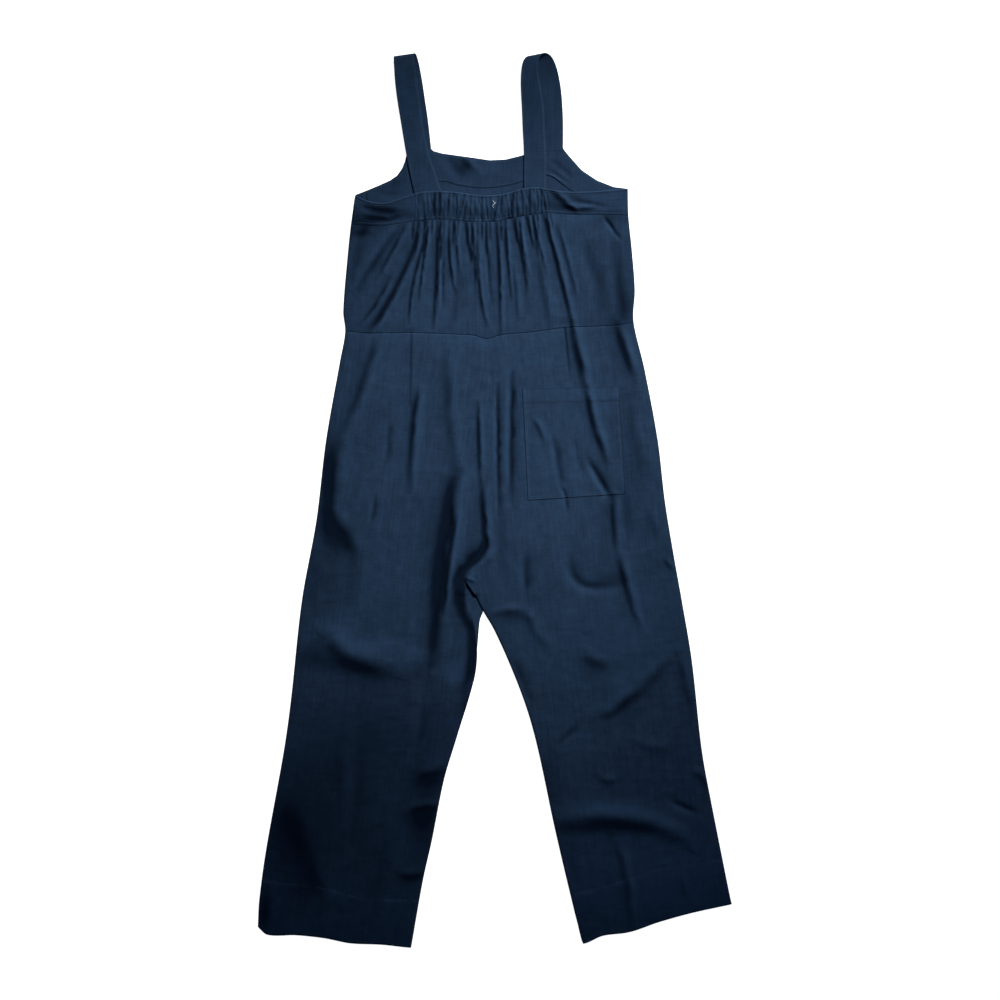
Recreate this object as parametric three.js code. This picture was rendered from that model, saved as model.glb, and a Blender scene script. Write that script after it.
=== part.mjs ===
// A cropped wide-leg jumpsuit of navy linen, laid flat with its back up.
// Millimetres. X runs across, Y up towards the shoulders, Z up from the surface.
import * as THREE from 'three';

// Sizes of cloth and seams
const CLOTH = 1.2;
const STRAP_CLOTH = 1.6;
const FACING_CLOTH = 1.0;
const SEAM_GAP = 0.3;
const HEM_RISE = 0.7;

// Levels of the layers above the surface
const FRONT_TOP = CLOTH;
const FACING_LOW = FRONT_TOP + SEAM_GAP;
const FACING_TOP = FACING_LOW + FACING_CLOTH;
const STRAP_LOW = FACING_TOP + SEAM_GAP;
const STRAP_TOP = STRAP_LOW + STRAP_CLOTH;
const BACK_LOW = FRONT_TOP + SEAM_GAP;
const BACK_RIM = BACK_LOW + CLOTH;
const HOLLOW_MOST = 3.6;

// Rise of the back panels above their side seams
const PUFF = 2.6;
const PUFF_REACH = 26;
const SEAM_DIP = 1.1;
const SEAM_DIP_REACH = 9;

// Gathers of the elastic casing and of the bodice below it
const GATHERS = 24;
const STEPS_PER_GATHER = 4;
const CASING_LEFT = -119;
const CASING_RIGHT = 76;
const CASING_GATHER_HIGH = 1.5;
const BODICE_GATHER_HIGH = 1.5;
const BODICE_GATHER_REACH = 46;
const WAIST_GATHER_LEFT = -172;
const WAIST_GATHER_RIGHT = 112;

// Side seams of the garment, from the underarm to the hem
const LEFT_SIDE = [
  { y: 444, x: -202.7 },
  { y: 404, x: -208.5 },
  { y: 352, x: -214 },
  { y: 275, x: -220 },
  { y: 246, x: -217.2 },
  { y: 204, x: -224.5 },
  { y: 88, x: -245 },
  { y: -28, x: -259 },
  { y: -144, x: -280 },
  { y: -289, x: -296 },
  { y: -361, x: -306 },
  { y: -506, x: -332 },
  { y: -579, x: -342 },
  { y: -618, x: -344 },
];
const RIGHT_SIDE = [
  { y: 453, x: 193 },
  { y: 414, x: 194 },
  { y: 364, x: 199 },
  { y: 306, x: 203.3 },
  { y: 260, x: 201.5 },
  { y: 190, x: 217.5 },
  { y: 88, x: 236.6 },
  { y: 1, x: 246.8 },
  { y: -71, x: 258.4 },
  { y: -144, x: 271.4 },
  { y: -231, x: 285.9 },
  { y: -361, x: 300.4 },
  { y: -434, x: 313.5 },
  { y: -579, x: 342.5 },
  { y: -585, x: 344 },
];

// Centre seams, from the waist down to the crotch
const BACK_SEAM = [
  { y: 235, x: -11.3 },
  { y: 161, x: -4 },
  { y: 88, x: 0.3 },
  { y: 16, x: -1.2 },
  { y: -42, x: -8.4 },
  { y: -79, x: -18.6 },
  { y: -103, x: -33 },
  { y: -115, x: -43.5 },
];
const FRONT_SEAM = [
  { y: 235, x: -9 },
  { y: 100, x: 0 },
  { y: -60, x: -4 },
  { y: -152, x: -16 },
];

// Inner leg seams, from the crotch down to the hem
const INNER_BACK_LEFT = [
  { y: -115, x: -43.5 },
  { y: -137, x: -38.9 },
  { y: -190, x: -28.7 },
  { y: -224, x: -25.8 },
  { y: -260, x: -30.2 },
  { y: -347, x: -56.3 },
  { y: -405, x: -73.7 },
  { y: -492, x: -91.1 },
  { y: -550, x: -104.1 },
  { y: -648, x: -121.5 },
];
const INNER_BACK_RIGHT = [
  { y: -115, x: -43.5 },
  { y: -132, x: -31.6 },
  { y: -160, x: -17.1 },
  { y: -187, x: -1.2 },
  { y: -245, x: 24.9 },
  { y: -303, x: 46.7 },
  { y: -361, x: 62.6 },
  { y: -477, x: 87.3 },
  { y: -593, x: 114.8 },
  { y: -642, x: 127.9 },
];
const INNER_FRONT_LEFT = [
  { y: -152, x: -16 },
  { y: -161, x: -17.1 },
  { y: -173, x: -21.5 },
  { y: -202, x: -24.4 },
  { y: -224, x: -26.3 },
];

// Seams that run across, as heights over X
const FRONT_WAIST = { leftX: -217.2, leftY: 246, rightX: 201.6, rightY: 259 };
const WAIST = [
  { x: -220, y: 246 },
  { x: -182, y: 243 },
  { x: -121, y: 243.5 },
  { x: -60, y: 241.5 },
  { x: -30, y: 239.5 },
  { x: -11.3, y: 235 },
  { x: 9, y: 240.5 },
  { x: 57, y: 245 },
  { x: 102, y: 251 },
  { x: 176, y: 254.5 },
  { x: 206, y: 260 },
];
const CASING_LOW = [
  { x: -210, y: 401 },
  { x: -166, y: 398.5 },
  { x: -111, y: 406 },
  { x: -79, y: 408 },
  { x: -34, y: 404.5 },
  { x: 2, y: 405 },
  { x: 38, y: 412 },
  { x: 76, y: 417 },
  { x: 110, y: 415 },
  { x: 196, y: 414 },
];
const CASING_TOP = [
  { x: -205, y: 444 },
  { x: -181, y: 434.5 },
  { x: -159, y: 432.5 },
  { x: -142, y: 436.7 },
  { x: -118, y: 445 },
  { x: -101, y: 448.5 },
  { x: -65, y: 448.5 },
  { x: -17, y: 443 },
  { x: 13, y: 445 },
  { x: 38, y: 452 },
  { x: 62, y: 454.7 },
  { x: 97, y: 449 },
  { x: 134, y: 448.6 },
  { x: 195, y: 453.5 },
];
const HEM_LEFT = [
  { x: -345, y: -617 },
  { x: -330, y: -629.2 },
  { x: -288, y: -630 },
  { x: -247, y: -634.4 },
  { x: -211, y: -641.5 },
  { x: -162, y: -644 },
  { x: -121, y: -648.5 },
];
const HEM_RIGHT = [
  { x: 127, y: -643 },
  { x: 135, y: -640.5 },
  { x: 156, y: -631 },
  { x: 195, y: -625.5 },
  { x: 239, y: -610.7 },
  { x: 288, y: -597.2 },
  { x: 344.5, y: -585 },
];

// Outline of the front bodice above the underarm
const STRAP_SEAM = 512;
const NECKLINE = [
  { x: -93, y: 512 },
  { x: -89.6, y: 508 },
  { x: -76.6, y: 504.3 },
  { x: -30.2, y: 497.8 },
  { x: -7, y: 494.4 },
  { x: 16.2, y: 495.6 },
  { x: 39.4, y: 501.4 },
  { x: 57, y: 506 },
  { x: 65, y: 512 },
];
const ARMHOLE_LEFT = [
  { x: -202.7, y: 444 },
  { x: -185.3, y: 450.7 },
  { x: -166.5, y: 458.6 },
  { x: -152, y: 465.2 },
  { x: -141.8, y: 472.4 },
  { x: -134.6, y: 482.6 },
  { x: -129, y: 497 },
  { x: -126.5, y: 512 },
];
const ARMHOLE_RIGHT = [
  { x: 99, y: 512 },
  { x: 103.2, y: 506 },
  { x: 113.4, y: 494.2 },
  { x: 126.4, y: 479.7 },
  { x: 148.2, y: 465.2 },
  { x: 172.8, y: 455.5 },
  { x: 193, y: 453 },
];

// Lower edge of the facing, from the left armhole to the right one
const FACING_EDGE = [
  { x: -186, y: 424 },
  { x: -160, y: 424 },
  { x: -132, y: 437 },
  { x: -104, y: 452 },
  { x: -78, y: 463.5 },
  { x: -53, y: 458 },
  { x: -21, y: 454 },
  { x: 15, y: 457 },
  { x: 42, y: 464 },
  { x: 67, y: 472 },
  { x: 84, y: 470 },
  { x: 102, y: 456 },
  { x: 120, y: 446 },
  { x: 156, y: 441 },
  { x: 172, y: 442 },
];
const FACING_INSET = 1.5;

// Patch pocket on the right back leg: where its sides start and end
const POCKET = { topLeft: 39.4, topRight: 180, bottomLeft: 47.6, bottomRight: 190 };
const POCKET_STEPS = 8;
const POCKET_HEM_RISE = 0.6;

// Lines of cloth across the back legs: heights of their inner and outer ends, and the
// number of grid rows down to each from the one before
const LEG_LINES = [
  { line: 'waist', steps: 0, innerLeft: 235, outerLeft: 246, innerRight: 235, outerRight: 259 },
  { line: 'pocket top', steps: 4, innerLeft: 160.8, outerLeft: 166, innerRight: 160.8, outerRight: 167.2 },
  { line: 'pocket end', steps: 8, innerLeft: -3.4, outerLeft: 6, innerRight: -3.4, outerRight: 13.9 },
  { line: 'crotch', steps: 6, innerLeft: -115, outerLeft: -104, innerRight: -115, outerRight: -96 },
  { line: 'hem stitch', steps: 24, innerLeft: -581, outerLeft: -551, innerRight: -575, outerRight: -518 },
  { line: 'hem', steps: 4, innerLeft: -648, outerLeft: -618, innerRight: -642, outerRight: -585 },
];

// Straps, from the seam at the front over the shoulder to the end under the casing:
// the two edges of the middle of the cloth
const LEFT_STRAP = [
  { leftX: -126, leftY: 512.2, leftZ: 0.8, rightX: -93, rightY: 512.2, rightZ: 0.8 },
  { leftX: -130, leftY: 553, leftZ: 0.8, rightX: -97, rightY: 553, rightZ: 0.8 },
  { leftX: -134, leftY: 580, leftZ: 0.8, rightX: -101, rightY: 580, rightZ: 0.8 },
  { leftX: -138, leftY: 604, leftZ: 0.8, rightX: -104.5, rightY: 604, rightZ: 0.8 },
  { leftX: -141.5, leftY: 622, leftZ: 1.3, rightX: -108, rightY: 624, rightZ: 1.3 },
  { leftX: -144, leftY: 635, leftZ: 2.8, rightX: -111, rightY: 638, rightZ: 3.0 },
  { leftX: -145.5, leftY: 642, leftZ: 5.4, rightX: -113.5, rightY: 646, rightZ: 5.8 },
  { leftX: -146.4, leftY: 643.2, leftZ: 8.2, rightX: -115.4, rightY: 647.6, rightZ: 8.8 },
  { leftX: -146.6, leftY: 639, leftZ: 10.4, rightX: -116.4, rightY: 644, rightZ: 11 },
  { leftX: -146, leftY: 629, leftZ: 10.2, rightX: -115.8, rightY: 634, rightZ: 10.8 },
  { leftX: -145, leftY: 612, leftZ: 8.4, rightX: -114, rightY: 615, rightZ: 8.8 },
  { leftX: -143, leftY: 592, leftZ: 6, rightX: -111, rightY: 594, rightZ: 6.2 },
  { leftX: -140.3, leftY: 573, leftZ: 4.2, rightX: -108.3, rightY: 574, rightZ: 4.2 },
  { leftX: -137, leftY: 553, leftZ: 3.6, rightX: -105.5, rightY: 553, rightZ: 3.6 },
  { leftX: -128, leftY: 499, leftZ: 3.6, rightX: -95.5, rightY: 503, rightZ: 3.6 },
  { leftX: -122, leftY: 470, leftZ: 3.6, rightX: -85.5, rightY: 474, rightZ: 3.6 },
  { leftX: -114.5, leftY: 436, leftZ: 3.6, rightX: -74, rightY: 439, rightZ: 3.6 },
];
const RIGHT_STRAP = [
  { leftX: 65.5, leftY: 512.2, leftZ: 0.8, rightX: 99, rightY: 512.2, rightZ: 0.8 },
  { leftX: 65.5, leftY: 553, leftZ: 0.8, rightX: 99, rightY: 553, rightZ: 0.8 },
  { leftX: 65, leftY: 587, leftZ: 0.8, rightX: 97.2, rightY: 587, rightZ: 0.8 },
  { leftX: 64, leftY: 606, leftZ: 0.8, rightX: 94.5, rightY: 608, rightZ: 0.9 },
  { leftX: 62.5, leftY: 622, leftZ: 1.5, rightX: 90.5, rightY: 626, rightZ: 1.8 },
  { leftX: 59.5, leftY: 634, leftZ: 3.2, rightX: 86, rightY: 638, rightZ: 4 },
  { leftX: 55, leftY: 641, leftZ: 5.8, rightX: 81, rightY: 645, rightZ: 7.4 },
  { leftX: 50, leftY: 643.5, leftZ: 8.8, rightX: 75, rightY: 647.75, rightZ: 10.6 },
  { leftX: 44.5, leftY: 641.5, leftZ: 10.8, rightX: 69.5, rightY: 646.5, rightZ: 12.6 },
  { leftX: 40.5, leftY: 635.5, leftZ: 11, rightX: 65, rightY: 641.5, rightZ: 12.8 },
  { leftX: 38.4, leftY: 625, leftZ: 9.8, rightX: 62.6, rightY: 631, rightZ: 11.6 },
  { leftX: 37.4, leftY: 607, leftZ: 7.6, rightX: 64, rightY: 612, rightZ: 9.2 },
  { leftX: 38, leftY: 588, leftZ: 5.2, rightX: 68, rightY: 592, rightZ: 6.6 },
  { leftX: 39.2, leftY: 566, leftZ: 3.7, rightX: 71.2, rightY: 568, rightZ: 4.6 },
  { leftX: 40, leftY: 545, leftZ: 3.6, rightX: 72.3, rightY: 545, rightZ: 3.7 },
  { leftX: 42, leftY: 502, leftZ: 3.6, rightX: 74.5, rightY: 502, rightZ: 3.6 },
  { leftX: 42, leftY: 442, leftZ: 3.6, rightX: 74, rightY: 442, rightZ: 3.6 },
];

// Folds of the back: a soft line through three places, its half width and its height.
// Ridges are above zero and troughs below it.
const FOLDS = [
  { name: 'bodice side', x0: -139, y0: 390, x1: -175, y1: 345, x2: -203, y2: 298, wide: 7, high: -1.0 },
  { name: 'bodice diagonal', x0: -106, y0: 393, x1: -132, y1: 332, x2: -180, y2: 245, wide: 9, high: -2.2 },
  { name: 'bodice diagonal crest', x0: -92, y0: 390, x1: -118, y1: 330, x2: -160, y2: 250, wide: 9, high: 1.6 },
  { name: 'bodice left', x0: -85, y0: 404, x1: -85, y1: 330, x2: -90, y2: 253, wide: 5, high: -2.0 },
  { name: 'bodice middle left', x0: -26, y0: 398, x1: -24, y1: 320, x2: -13, y2: 256, wide: 6, high: -1.4 },
  { name: 'bodice middle', x0: 0, y0: 404, x1: 5, y1: 349, x2: 7, y2: 245, wide: 6, high: -2.0 },
  { name: 'bodice middle right', x0: 22, y0: 404, x1: 39, y1: 355, x2: 45, y2: 307, wide: 6, high: -1.7 },
  { name: 'bodice right', x0: 68, y0: 413, x1: 89, y1: 346, x2: 112, y2: 251, wide: 8, high: -2.4 },
  { name: 'bodice right crest', x0: 82, y0: 408, x1: 104, y1: 346, x2: 128, y2: 255, wide: 9, high: 1.4 },
  { name: 'bodice right side', x0: 173, y0: 372, x1: 182, y1: 306, x2: 187, y2: 259, wide: 9, high: -1.0 },
  { name: 'hip left', x0: -169, y0: 238, x1: -198, y1: 146, x2: -232, y2: 61, wide: 11, high: -2.0 },
  { name: 'hip left low', x0: -238, y0: 20, x1: -236, y1: -30, x2: -205, y2: -80, wide: 16, high: -1.6 },
  { name: 'dart fold left', x0: -112, y0: 159, x1: -122, y1: 88, x2: -129, y2: 17, wide: 8, high: -1.8 },
  { name: 'seat left', x0: -75, y0: 209, x1: -66, y1: 103, x2: -55, y2: 30, wide: 9, high: -1.6 },
  { name: 'seat left deep', x0: -55, y0: 34, x1: -82, y1: -50, x2: -88, y2: -216, wide: 12, high: -3.0 },
  { name: 'seat left crest', x0: -37, y0: 6, x1: -60, y1: -71, x2: -66, y2: -205, wide: 10, high: 2.4 },
  { name: 'seam fold', x0: -24, y0: 146, x1: -21, y1: 88, x2: -21, y2: 33, wide: 6, high: -1.5 },
  { name: 'crotch pinch', x0: -18, y0: 8, x1: -20, y1: -46, x2: -36, y2: -84, wide: 8, high: -2.2 },
  { name: 'seat right', x0: 25, y0: 174, x1: 23, y1: 88, x2: 23, y2: 4, wide: 7, high: -2.2 },
  { name: 'pocket fold', x0: 106, y0: 246, x1: 129, y1: 168, x2: 161, y2: 58, wide: 9, high: -2.2 },
  { name: 'pocket fold crest', x0: 122, y0: 246, x1: 146, y1: 165, x2: 176, y2: 62, wide: 10, high: 1.4 },
  { name: 'pocket low fold', x0: 141, y0: 55, x1: 170, y1: 1, x2: 172, y2: -66, wide: 8, high: -1.8 },
  { name: 'below pocket', x0: 183, y0: -90, x1: 193, y1: -137, x2: 200, y2: -178, wide: 8, high: -1.4 },
  { name: 'below pocket across', x0: 116, y0: -74, x1: 130, y1: -118, x2: 182, y2: -122, wide: 10, high: -1.4 },
  { name: 'hip right', x0: 177, y0: 251, x1: 192, y1: 216, x2: 202, y2: 178, wide: 9, high: -1.4 },
  { name: 'thigh right inner', x0: 4, y0: -166, x1: 39, y1: -163, x2: 72, y2: -226, wide: 11, high: -1.8 },
  { name: 'knee right', x0: 150, y0: -317, x1: 211, y1: -284, x2: 240, y2: -256, wide: 13, high: -2.2 },
  { name: 'knee right crest', x0: 136, y0: -276, x1: 176, y1: -262, x2: 228, y2: -240, wide: 15, high: 1.6 },
  { name: 'shin right', x0: 92, y0: -464, x1: 196, y1: -463, x2: 272, y2: -496, wide: 11, high: -2.4 },
  { name: 'shin right crest', x0: 95, y0: -440, x1: 182, y1: -438, x2: 270, y2: -461, wide: 13, high: 1.8 },
  { name: 'hem right', x0: 172, y0: -488, x1: 184, y1: -550, x2: 196, y2: -606, wide: 10, high: -1.3 },
  { name: 'thigh left', x0: -248, y0: -198, x1: -208, y1: -232, x2: -124, y2: -262, wide: 15, high: -2.6 },
  { name: 'thigh left crest', x0: -214, y0: -170, x1: -166, y1: -222, x2: -104, y2: -234, wide: 16, high: 1.6 },
  { name: 'knee left inner', x0: -64, y0: -220, x1: -59, y1: -242, x2: -62, y2: -276, wide: 10, high: 1.4 },
];

// Grids of the panels: rows, and the share of the width at each column
const SIDE_ZONE = [0, 0.05, 0.13, 0.26, 0.42, 0.6, 0.78, 0.9];
const CASING_ROWS = 6;
const BODICE_ROWS = 12;
const LEFT_LEG_COLUMNS = [0, 0.03, 0.085, 0.17, 0.24, 0.31, 0.38, 0.45, 0.52, 0.59, 0.66, 0.73, 0.8, 0.87,
  0.935, 0.975, 1];
const BESIDE_POCKET_INNER = [0, 0.14, 0.38, 0.69];
const BESIDE_POCKET_OUTER = [0.28, 0.52, 0.74, 0.9, 1];

const clamp = THREE.MathUtils.clamp;
const lerp = THREE.MathUtils.lerp;
const smooth = THREE.MathUtils.smoothstep;

// Smooth curve through a table, read as value over key
function curveThrough(table, key, value) {
  const rows = [...table].sort((a, b) => a[key] - b[key]);
  const keys = rows.map((row) => row[key]);
  const values = rows.map((row) => row[value]);
  const slopes = keys.map((_, i) => {
    const low = Math.max(i - 1, 0);
    const high = Math.min(i + 1, keys.length - 1);
    return (values[high] - values[low]) / (keys[high] - keys[low]);
  });
  return (at) => {
    const inside = clamp(at, keys[0], keys[keys.length - 1]);
    let i = 0;
    while (i < keys.length - 2 && inside > keys[i + 1]) {
      i += 1;
    }
    const step = keys[i + 1] - keys[i];
    const t = (inside - keys[i]) / step;
    const t2 = t * t;
    const t3 = t2 * t;
    return values[i] * (2 * t3 - 3 * t2 + 1) + slopes[i] * step * (t3 - 2 * t2 + t)
      + values[i + 1] * (3 * t2 - 2 * t3) + slopes[i + 1] * step * (t3 - t2);
  };
}

const leftSide = curveThrough(LEFT_SIDE, 'y', 'x');
const rightSide = curveThrough(RIGHT_SIDE, 'y', 'x');
const backSeam = curveThrough(BACK_SEAM, 'y', 'x');
const frontSeam = curveThrough(FRONT_SEAM, 'y', 'x');
const innerBackLeft = curveThrough(INNER_BACK_LEFT, 'y', 'x');
const innerBackRight = curveThrough(INNER_BACK_RIGHT, 'y', 'x');
const innerFrontLeft = curveThrough(INNER_FRONT_LEFT, 'y', 'x');
const waist = curveThrough(WAIST, 'x', 'y');
const casingLow = curveThrough(CASING_LOW, 'x', 'y');
const casingTop = curveThrough(CASING_TOP, 'x', 'y');
const hemLeft = curveThrough(HEM_LEFT, 'x', 'y');
const hemRight = curveThrough(HEM_RIGHT, 'x', 'y');
const neckline = curveThrough(NECKLINE, 'x', 'y');
const facingEdge = curveThrough(FACING_EDGE, 'x', 'y');

function frontWaist(x) {
  const { leftX, leftY, rightX, rightY } = FRONT_WAIST;
  return lerp(leftY, rightY, (x - leftX) / (rightX - leftX));
}

function evenSteps(from, to, count) {
  return Array.from({ length: count + 1 }, (_, i) => lerp(from, to, i / count));
}

// Height of one fold at a place, fading towards both of its ends
function foldHeight(fold, x, y) {
  const parts = [
    [fold.x0, fold.y0, fold.x1, fold.y1, 0],
    [fold.x1, fold.y1, fold.x2, fold.y2, 0.5],
  ];
  let nearest = Infinity;
  let along = 0;
  for (const [ax, ay, bx, by, start] of parts) {
    const dx = bx - ax;
    const dy = by - ay;
    const t = clamp(((x - ax) * dx + (y - ay) * dy) / (dx * dx + dy * dy), 0, 1);
    const distance = Math.hypot(x - ax - t * dx, y - ay - t * dy);
    if (distance < nearest) {
      nearest = distance;
      along = start + t / 2;
    }
  }
  const fade = Math.sqrt(Math.sin(Math.PI * clamp(along, 0.03, 0.97)));
  return fold.high * fade * Math.exp(-((nearest / fold.wide) ** 2));
}

function foldsAt(x, y) {
  return FOLDS.reduce((sum, fold) => sum + foldHeight(fold, x, y), 0);
}

// Rounded rise of a panel beside a side seam, from 0 at the seam to 1
function sideRise(distance) {
  const t = 1 - clamp(distance / PUFF_REACH, 0, 1);
  return Math.sqrt(1 - t * t);
}

// Shallow dip of a panel beside a seam that joins it to the next one
function seamDip(distance) {
  return SEAM_DIP * Math.exp(-((distance / SEAM_DIP_REACH) ** 2));
}

// Closed wall over a grid of outer points, with inner points on some of its grid lines
function wallGeometry(outer, inner, columns, rows) {
  const outerColumns = outer[0].length;
  const points = [...outer.flat(), ...inner.flat()];
  const outerAt = (row, column) => row * outerColumns + column;
  const innerAt = (row, column) => outer.length * outerColumns + row * columns.length + column;
  const index = [];
  const face = (at, rowCount, columnCount, up) => {
    for (let row = 0; row + 1 < rowCount; row += 1) {
      for (let column = 0; column + 1 < columnCount; column += 1) {
        const a = at(row, column);
        const b = at(row + 1, column);
        const c = at(row + 1, column + 1);
        const d = at(row, column + 1);
        index.push(...(up ? [a, b, c, a, c, d] : [a, c, b, a, d, c]));
      }
    }
  };
  face(outerAt, outer.length, outerColumns, true);
  face(innerAt, rows.length, columns.length, false);
  const rim = (row, column, nextRow, nextColumn) => {
    const from = innerAt(row, column);
    const to = innerAt(nextRow, nextColumn);
    const steps = Math.abs(rows[nextRow] - rows[row]) + Math.abs(columns[nextColumn] - columns[column]);
    const edge = evenSteps(0, 1, steps).map((t) => outerAt(
      Math.round(lerp(rows[row], rows[nextRow], t)),
      Math.round(lerp(columns[column], columns[nextColumn], t)),
    ));
    const middle = Math.floor(steps / 2);
    for (let step = 0; step < steps; step += 1) {
      index.push(step < middle ? from : to, edge[step + 1], edge[step]);
    }
    index.push(from, to, edge[middle]);
  };
  const lastRow = rows.length - 1;
  const lastColumn = columns.length - 1;
  for (let row = 0; row < lastRow; row += 1) {
    rim(row, 0, row + 1, 0);
    rim(row + 1, lastColumn, row, lastColumn);
  }
  for (let column = 0; column < lastColumn; column += 1) {
    rim(lastRow, column, lastRow, column + 1);
    rim(0, column + 1, 0, column);
  }
  const geometry = new THREE.BufferGeometry().setFromPoints(points);
  geometry.setIndex(index);
  return geometry;
}

// Inner points of a wall: the lowest outer point nearby, less one thickness of cloth
function innerPoints(outer, columns, rows, lowest) {
  const lineBefore = (lines, i) => lines[Math.max(i - 1, 0)];
  const lineAfter = (lines, i) => lines[Math.min(i + 1, lines.length - 1)];
  return rows.map((row, r) => columns.map((column, c) => {
    const near = outer.slice(lineBefore(rows, r), lineAfter(rows, r) + 1)
      .flatMap((line) => line.slice(lineBefore(columns, c), lineAfter(columns, c) + 1));
    const low = Math.min(...near.map(({ z }) => z));
    const { x, y } = outer[row][column];
    return new THREE.Vector3(x, y, clamp(low - CLOTH, lowest, FRONT_TOP + HOLLOW_MOST));
  }));
}

// Every STEP-th grid line from the first to the last
function everyLine(count, step) {
  return Array.from({ length: Math.floor((count - 1) / step) + 1 }, (_, i) => i * step);
}

const LINEN = { color: 0x24374d, roughness: 0.86, metalness: 0 };

function clothMesh(name, geometry, shade) {
  const material = new THREE.MeshStandardMaterial({ ...LINEN, side: THREE.DoubleSide });
  material.color.multiplyScalar(shade);
  geometry.computeVertexNormals();
  const mesh = new THREE.Mesh(geometry, material);
  mesh.name = name;
  return mesh;
}

// Flat slab of cloth inside an outline
function slabMesh(name, outline, low, thick, shade) {
  const shape = new THREE.Shape(outline.map(({ x, y }) => new THREE.Vector2(x, y)));
  const geometry = new THREE.ExtrudeGeometry(shape, { depth: thick, bevelEnabled: false, curveSegments: 1 });
  geometry.translate(0, 0, low);
  return clothMesh(name, geometry, shade);
}

// Points along a seam curve that gives X over Y, and along one that gives Y over X
function downSeam(curve, from, to, count) {
  return evenSteps(from, to, count).map((y) => ({ x: curve(y), y }));
}

function acrossSeam(curve, from, to, count) {
  return evenSteps(from, to, count).map((x) => ({ x, y: curve(x) }));
}

// Front bodice: one flat layer from the waist to the neck and the strap seams
function frontBodice() {
  const gap = SEAM_GAP / 2;
  const { leftX, leftY, rightX, rightY } = FRONT_WAIST;
  const underarmLeft = ARMHOLE_LEFT[0];
  const underarmRight = ARMHOLE_RIGHT[ARMHOLE_RIGHT.length - 1];
  const outline = [
    ...downSeam(leftSide, underarmLeft.y, leftY + 10, 9),
    { x: leftX, y: leftY + gap },
    { x: rightX, y: rightY + gap },
    ...downSeam(rightSide, rightY + 10, underarmRight.y, 9),
    ...ARMHOLE_RIGHT.slice(1, -1).reverse(),
    { x: ARMHOLE_RIGHT[0].x, y: STRAP_SEAM - gap },
    { x: NECKLINE[NECKLINE.length - 1].x, y: STRAP_SEAM - gap },
    ...acrossSeam(neckline, 57, -89.6, 14),
    { x: NECKLINE[0].x, y: STRAP_SEAM - gap },
    { x: ARMHOLE_LEFT[ARMHOLE_LEFT.length - 1].x, y: STRAP_SEAM - gap },
    ...ARMHOLE_LEFT.slice(1, -1).reverse(),
  ];
  return slabMesh('front_bodice', outline, 0, CLOTH, 0.9);
}

// Facing on the inside of the neck and armholes
function frontFacing() {
  const left = FACING_EDGE[0].x;
  const right = FACING_EDGE[FACING_EDGE.length - 1].x;
  const top = STRAP_SEAM - 2 * FACING_INSET;
  const outline = [
    ...acrossSeam(facingEdge, left, right, 26),
    ...ARMHOLE_RIGHT.filter(({ x }) => x < right && x > 100).reverse()
      .map(({ x, y }) => ({ x: x - FACING_INSET, y: y - FACING_INSET })),
    { x: 97, y: top },
    { x: 67, y: top },
    ...acrossSeam(neckline, 57, -86, 12).map(({ x, y }) => ({ x, y: y - FACING_INSET })),
    { x: -95, y: top },
    { x: -124, y: top },
    ...ARMHOLE_LEFT.filter(({ x }) => x > left && x < -127).reverse()
      .map(({ x, y }) => ({ x: x + FACING_INSET, y: y - FACING_INSET })),
  ];
  return slabMesh('front_facing', outline, FACING_LOW, FACING_CLOTH, 0.95);
}

// Front legs: flat layers under the back legs
function frontLegs() {
  const gap = SEAM_GAP / 2;
  const crotch = FRONT_SEAM[FRONT_SEAM.length - 1];
  const seamTop = FRONT_SEAM[0];
  const waistAtSeam = frontWaist(seamTop.x) - gap;
  const split = INNER_FRONT_LEFT[INNER_FRONT_LEFT.length - 1];
  const left = [
    { x: FRONT_WAIST.leftX, y: FRONT_WAIST.leftY - gap },
    ...downSeam(leftSide, 234, -616, 25),
    ...acrossSeam(hemLeft, -342, -122, 12),
    ...downSeam(innerBackLeft, -640, split.y, 17),
    ...downSeam(innerFrontLeft, split.y, crotch.y, 5).slice(1),
    ...downSeam(frontSeam, crotch.y, seamTop.y, 10).slice(1).map(({ x, y }) => ({ x: x - gap, y })),
    { x: seamTop.x - gap, y: waistAtSeam },
  ];
  const right = [
    { x: seamTop.x + gap, y: waistAtSeam },
    ...downSeam(frontSeam, seamTop.y, crotch.y, 10).map(({ x, y }) => ({ x: x + gap, y })),
    ...downSeam(innerBackRight, crotch.y - 10, -635, 21),
    ...acrossSeam(hemRight, 128.5, 342.5, 12),
    ...downSeam(rightSide, -583, 247, 25),
    { x: FRONT_WAIST.rightX, y: FRONT_WAIST.rightY - gap },
  ];
  return [
    slabMesh('leg_front_left', left, 0, CLOTH, 0.8),
    slabMesh('leg_front_right', right, 0, CLOTH, 0.8),
  ];
}

// Columns of the gathered zone and of the plain zones beside it, as shares of each zone
function gatherColumns() {
  const gathered = GATHERS * STEPS_PER_GATHER;
  return [
    ...SIDE_ZONE.map((share) => ({ zone: 0, share })),
    ...evenSteps(0, 1, gathered).map((share) => ({ zone: 1, share })),
    ...SIDE_ZONE.map((share) => ({ zone: 2, share: 1 - share })).reverse(),
  ];
}

// Columns that the plain inside keeps: one for each gather, and all beside them
function innerColumns(columns) {
  return everyLine(columns.length, 1).filter((i) => (
    columns[i].zone !== 1 || (i - SIDE_ZONE.length) % STEPS_PER_GATHER === 0));
}

function zonePlace({ zone, share }, edges) {
  return lerp(edges[zone], edges[zone + 1], share);
}

// Height of the gathers across the gathered zone, uneven from one to the next
function gatherWave({ zone, share }, high) {
  if (zone !== 1) {
    return 0;
  }
  const gather = share * GATHERS;
  const uneven = 0.75 + 0.25 * Math.sin(1.9 * Math.floor(gather) + 0.6);
  return high * uneven * (1 - Math.cos(2 * Math.PI * gather)) / 2;
}

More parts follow.
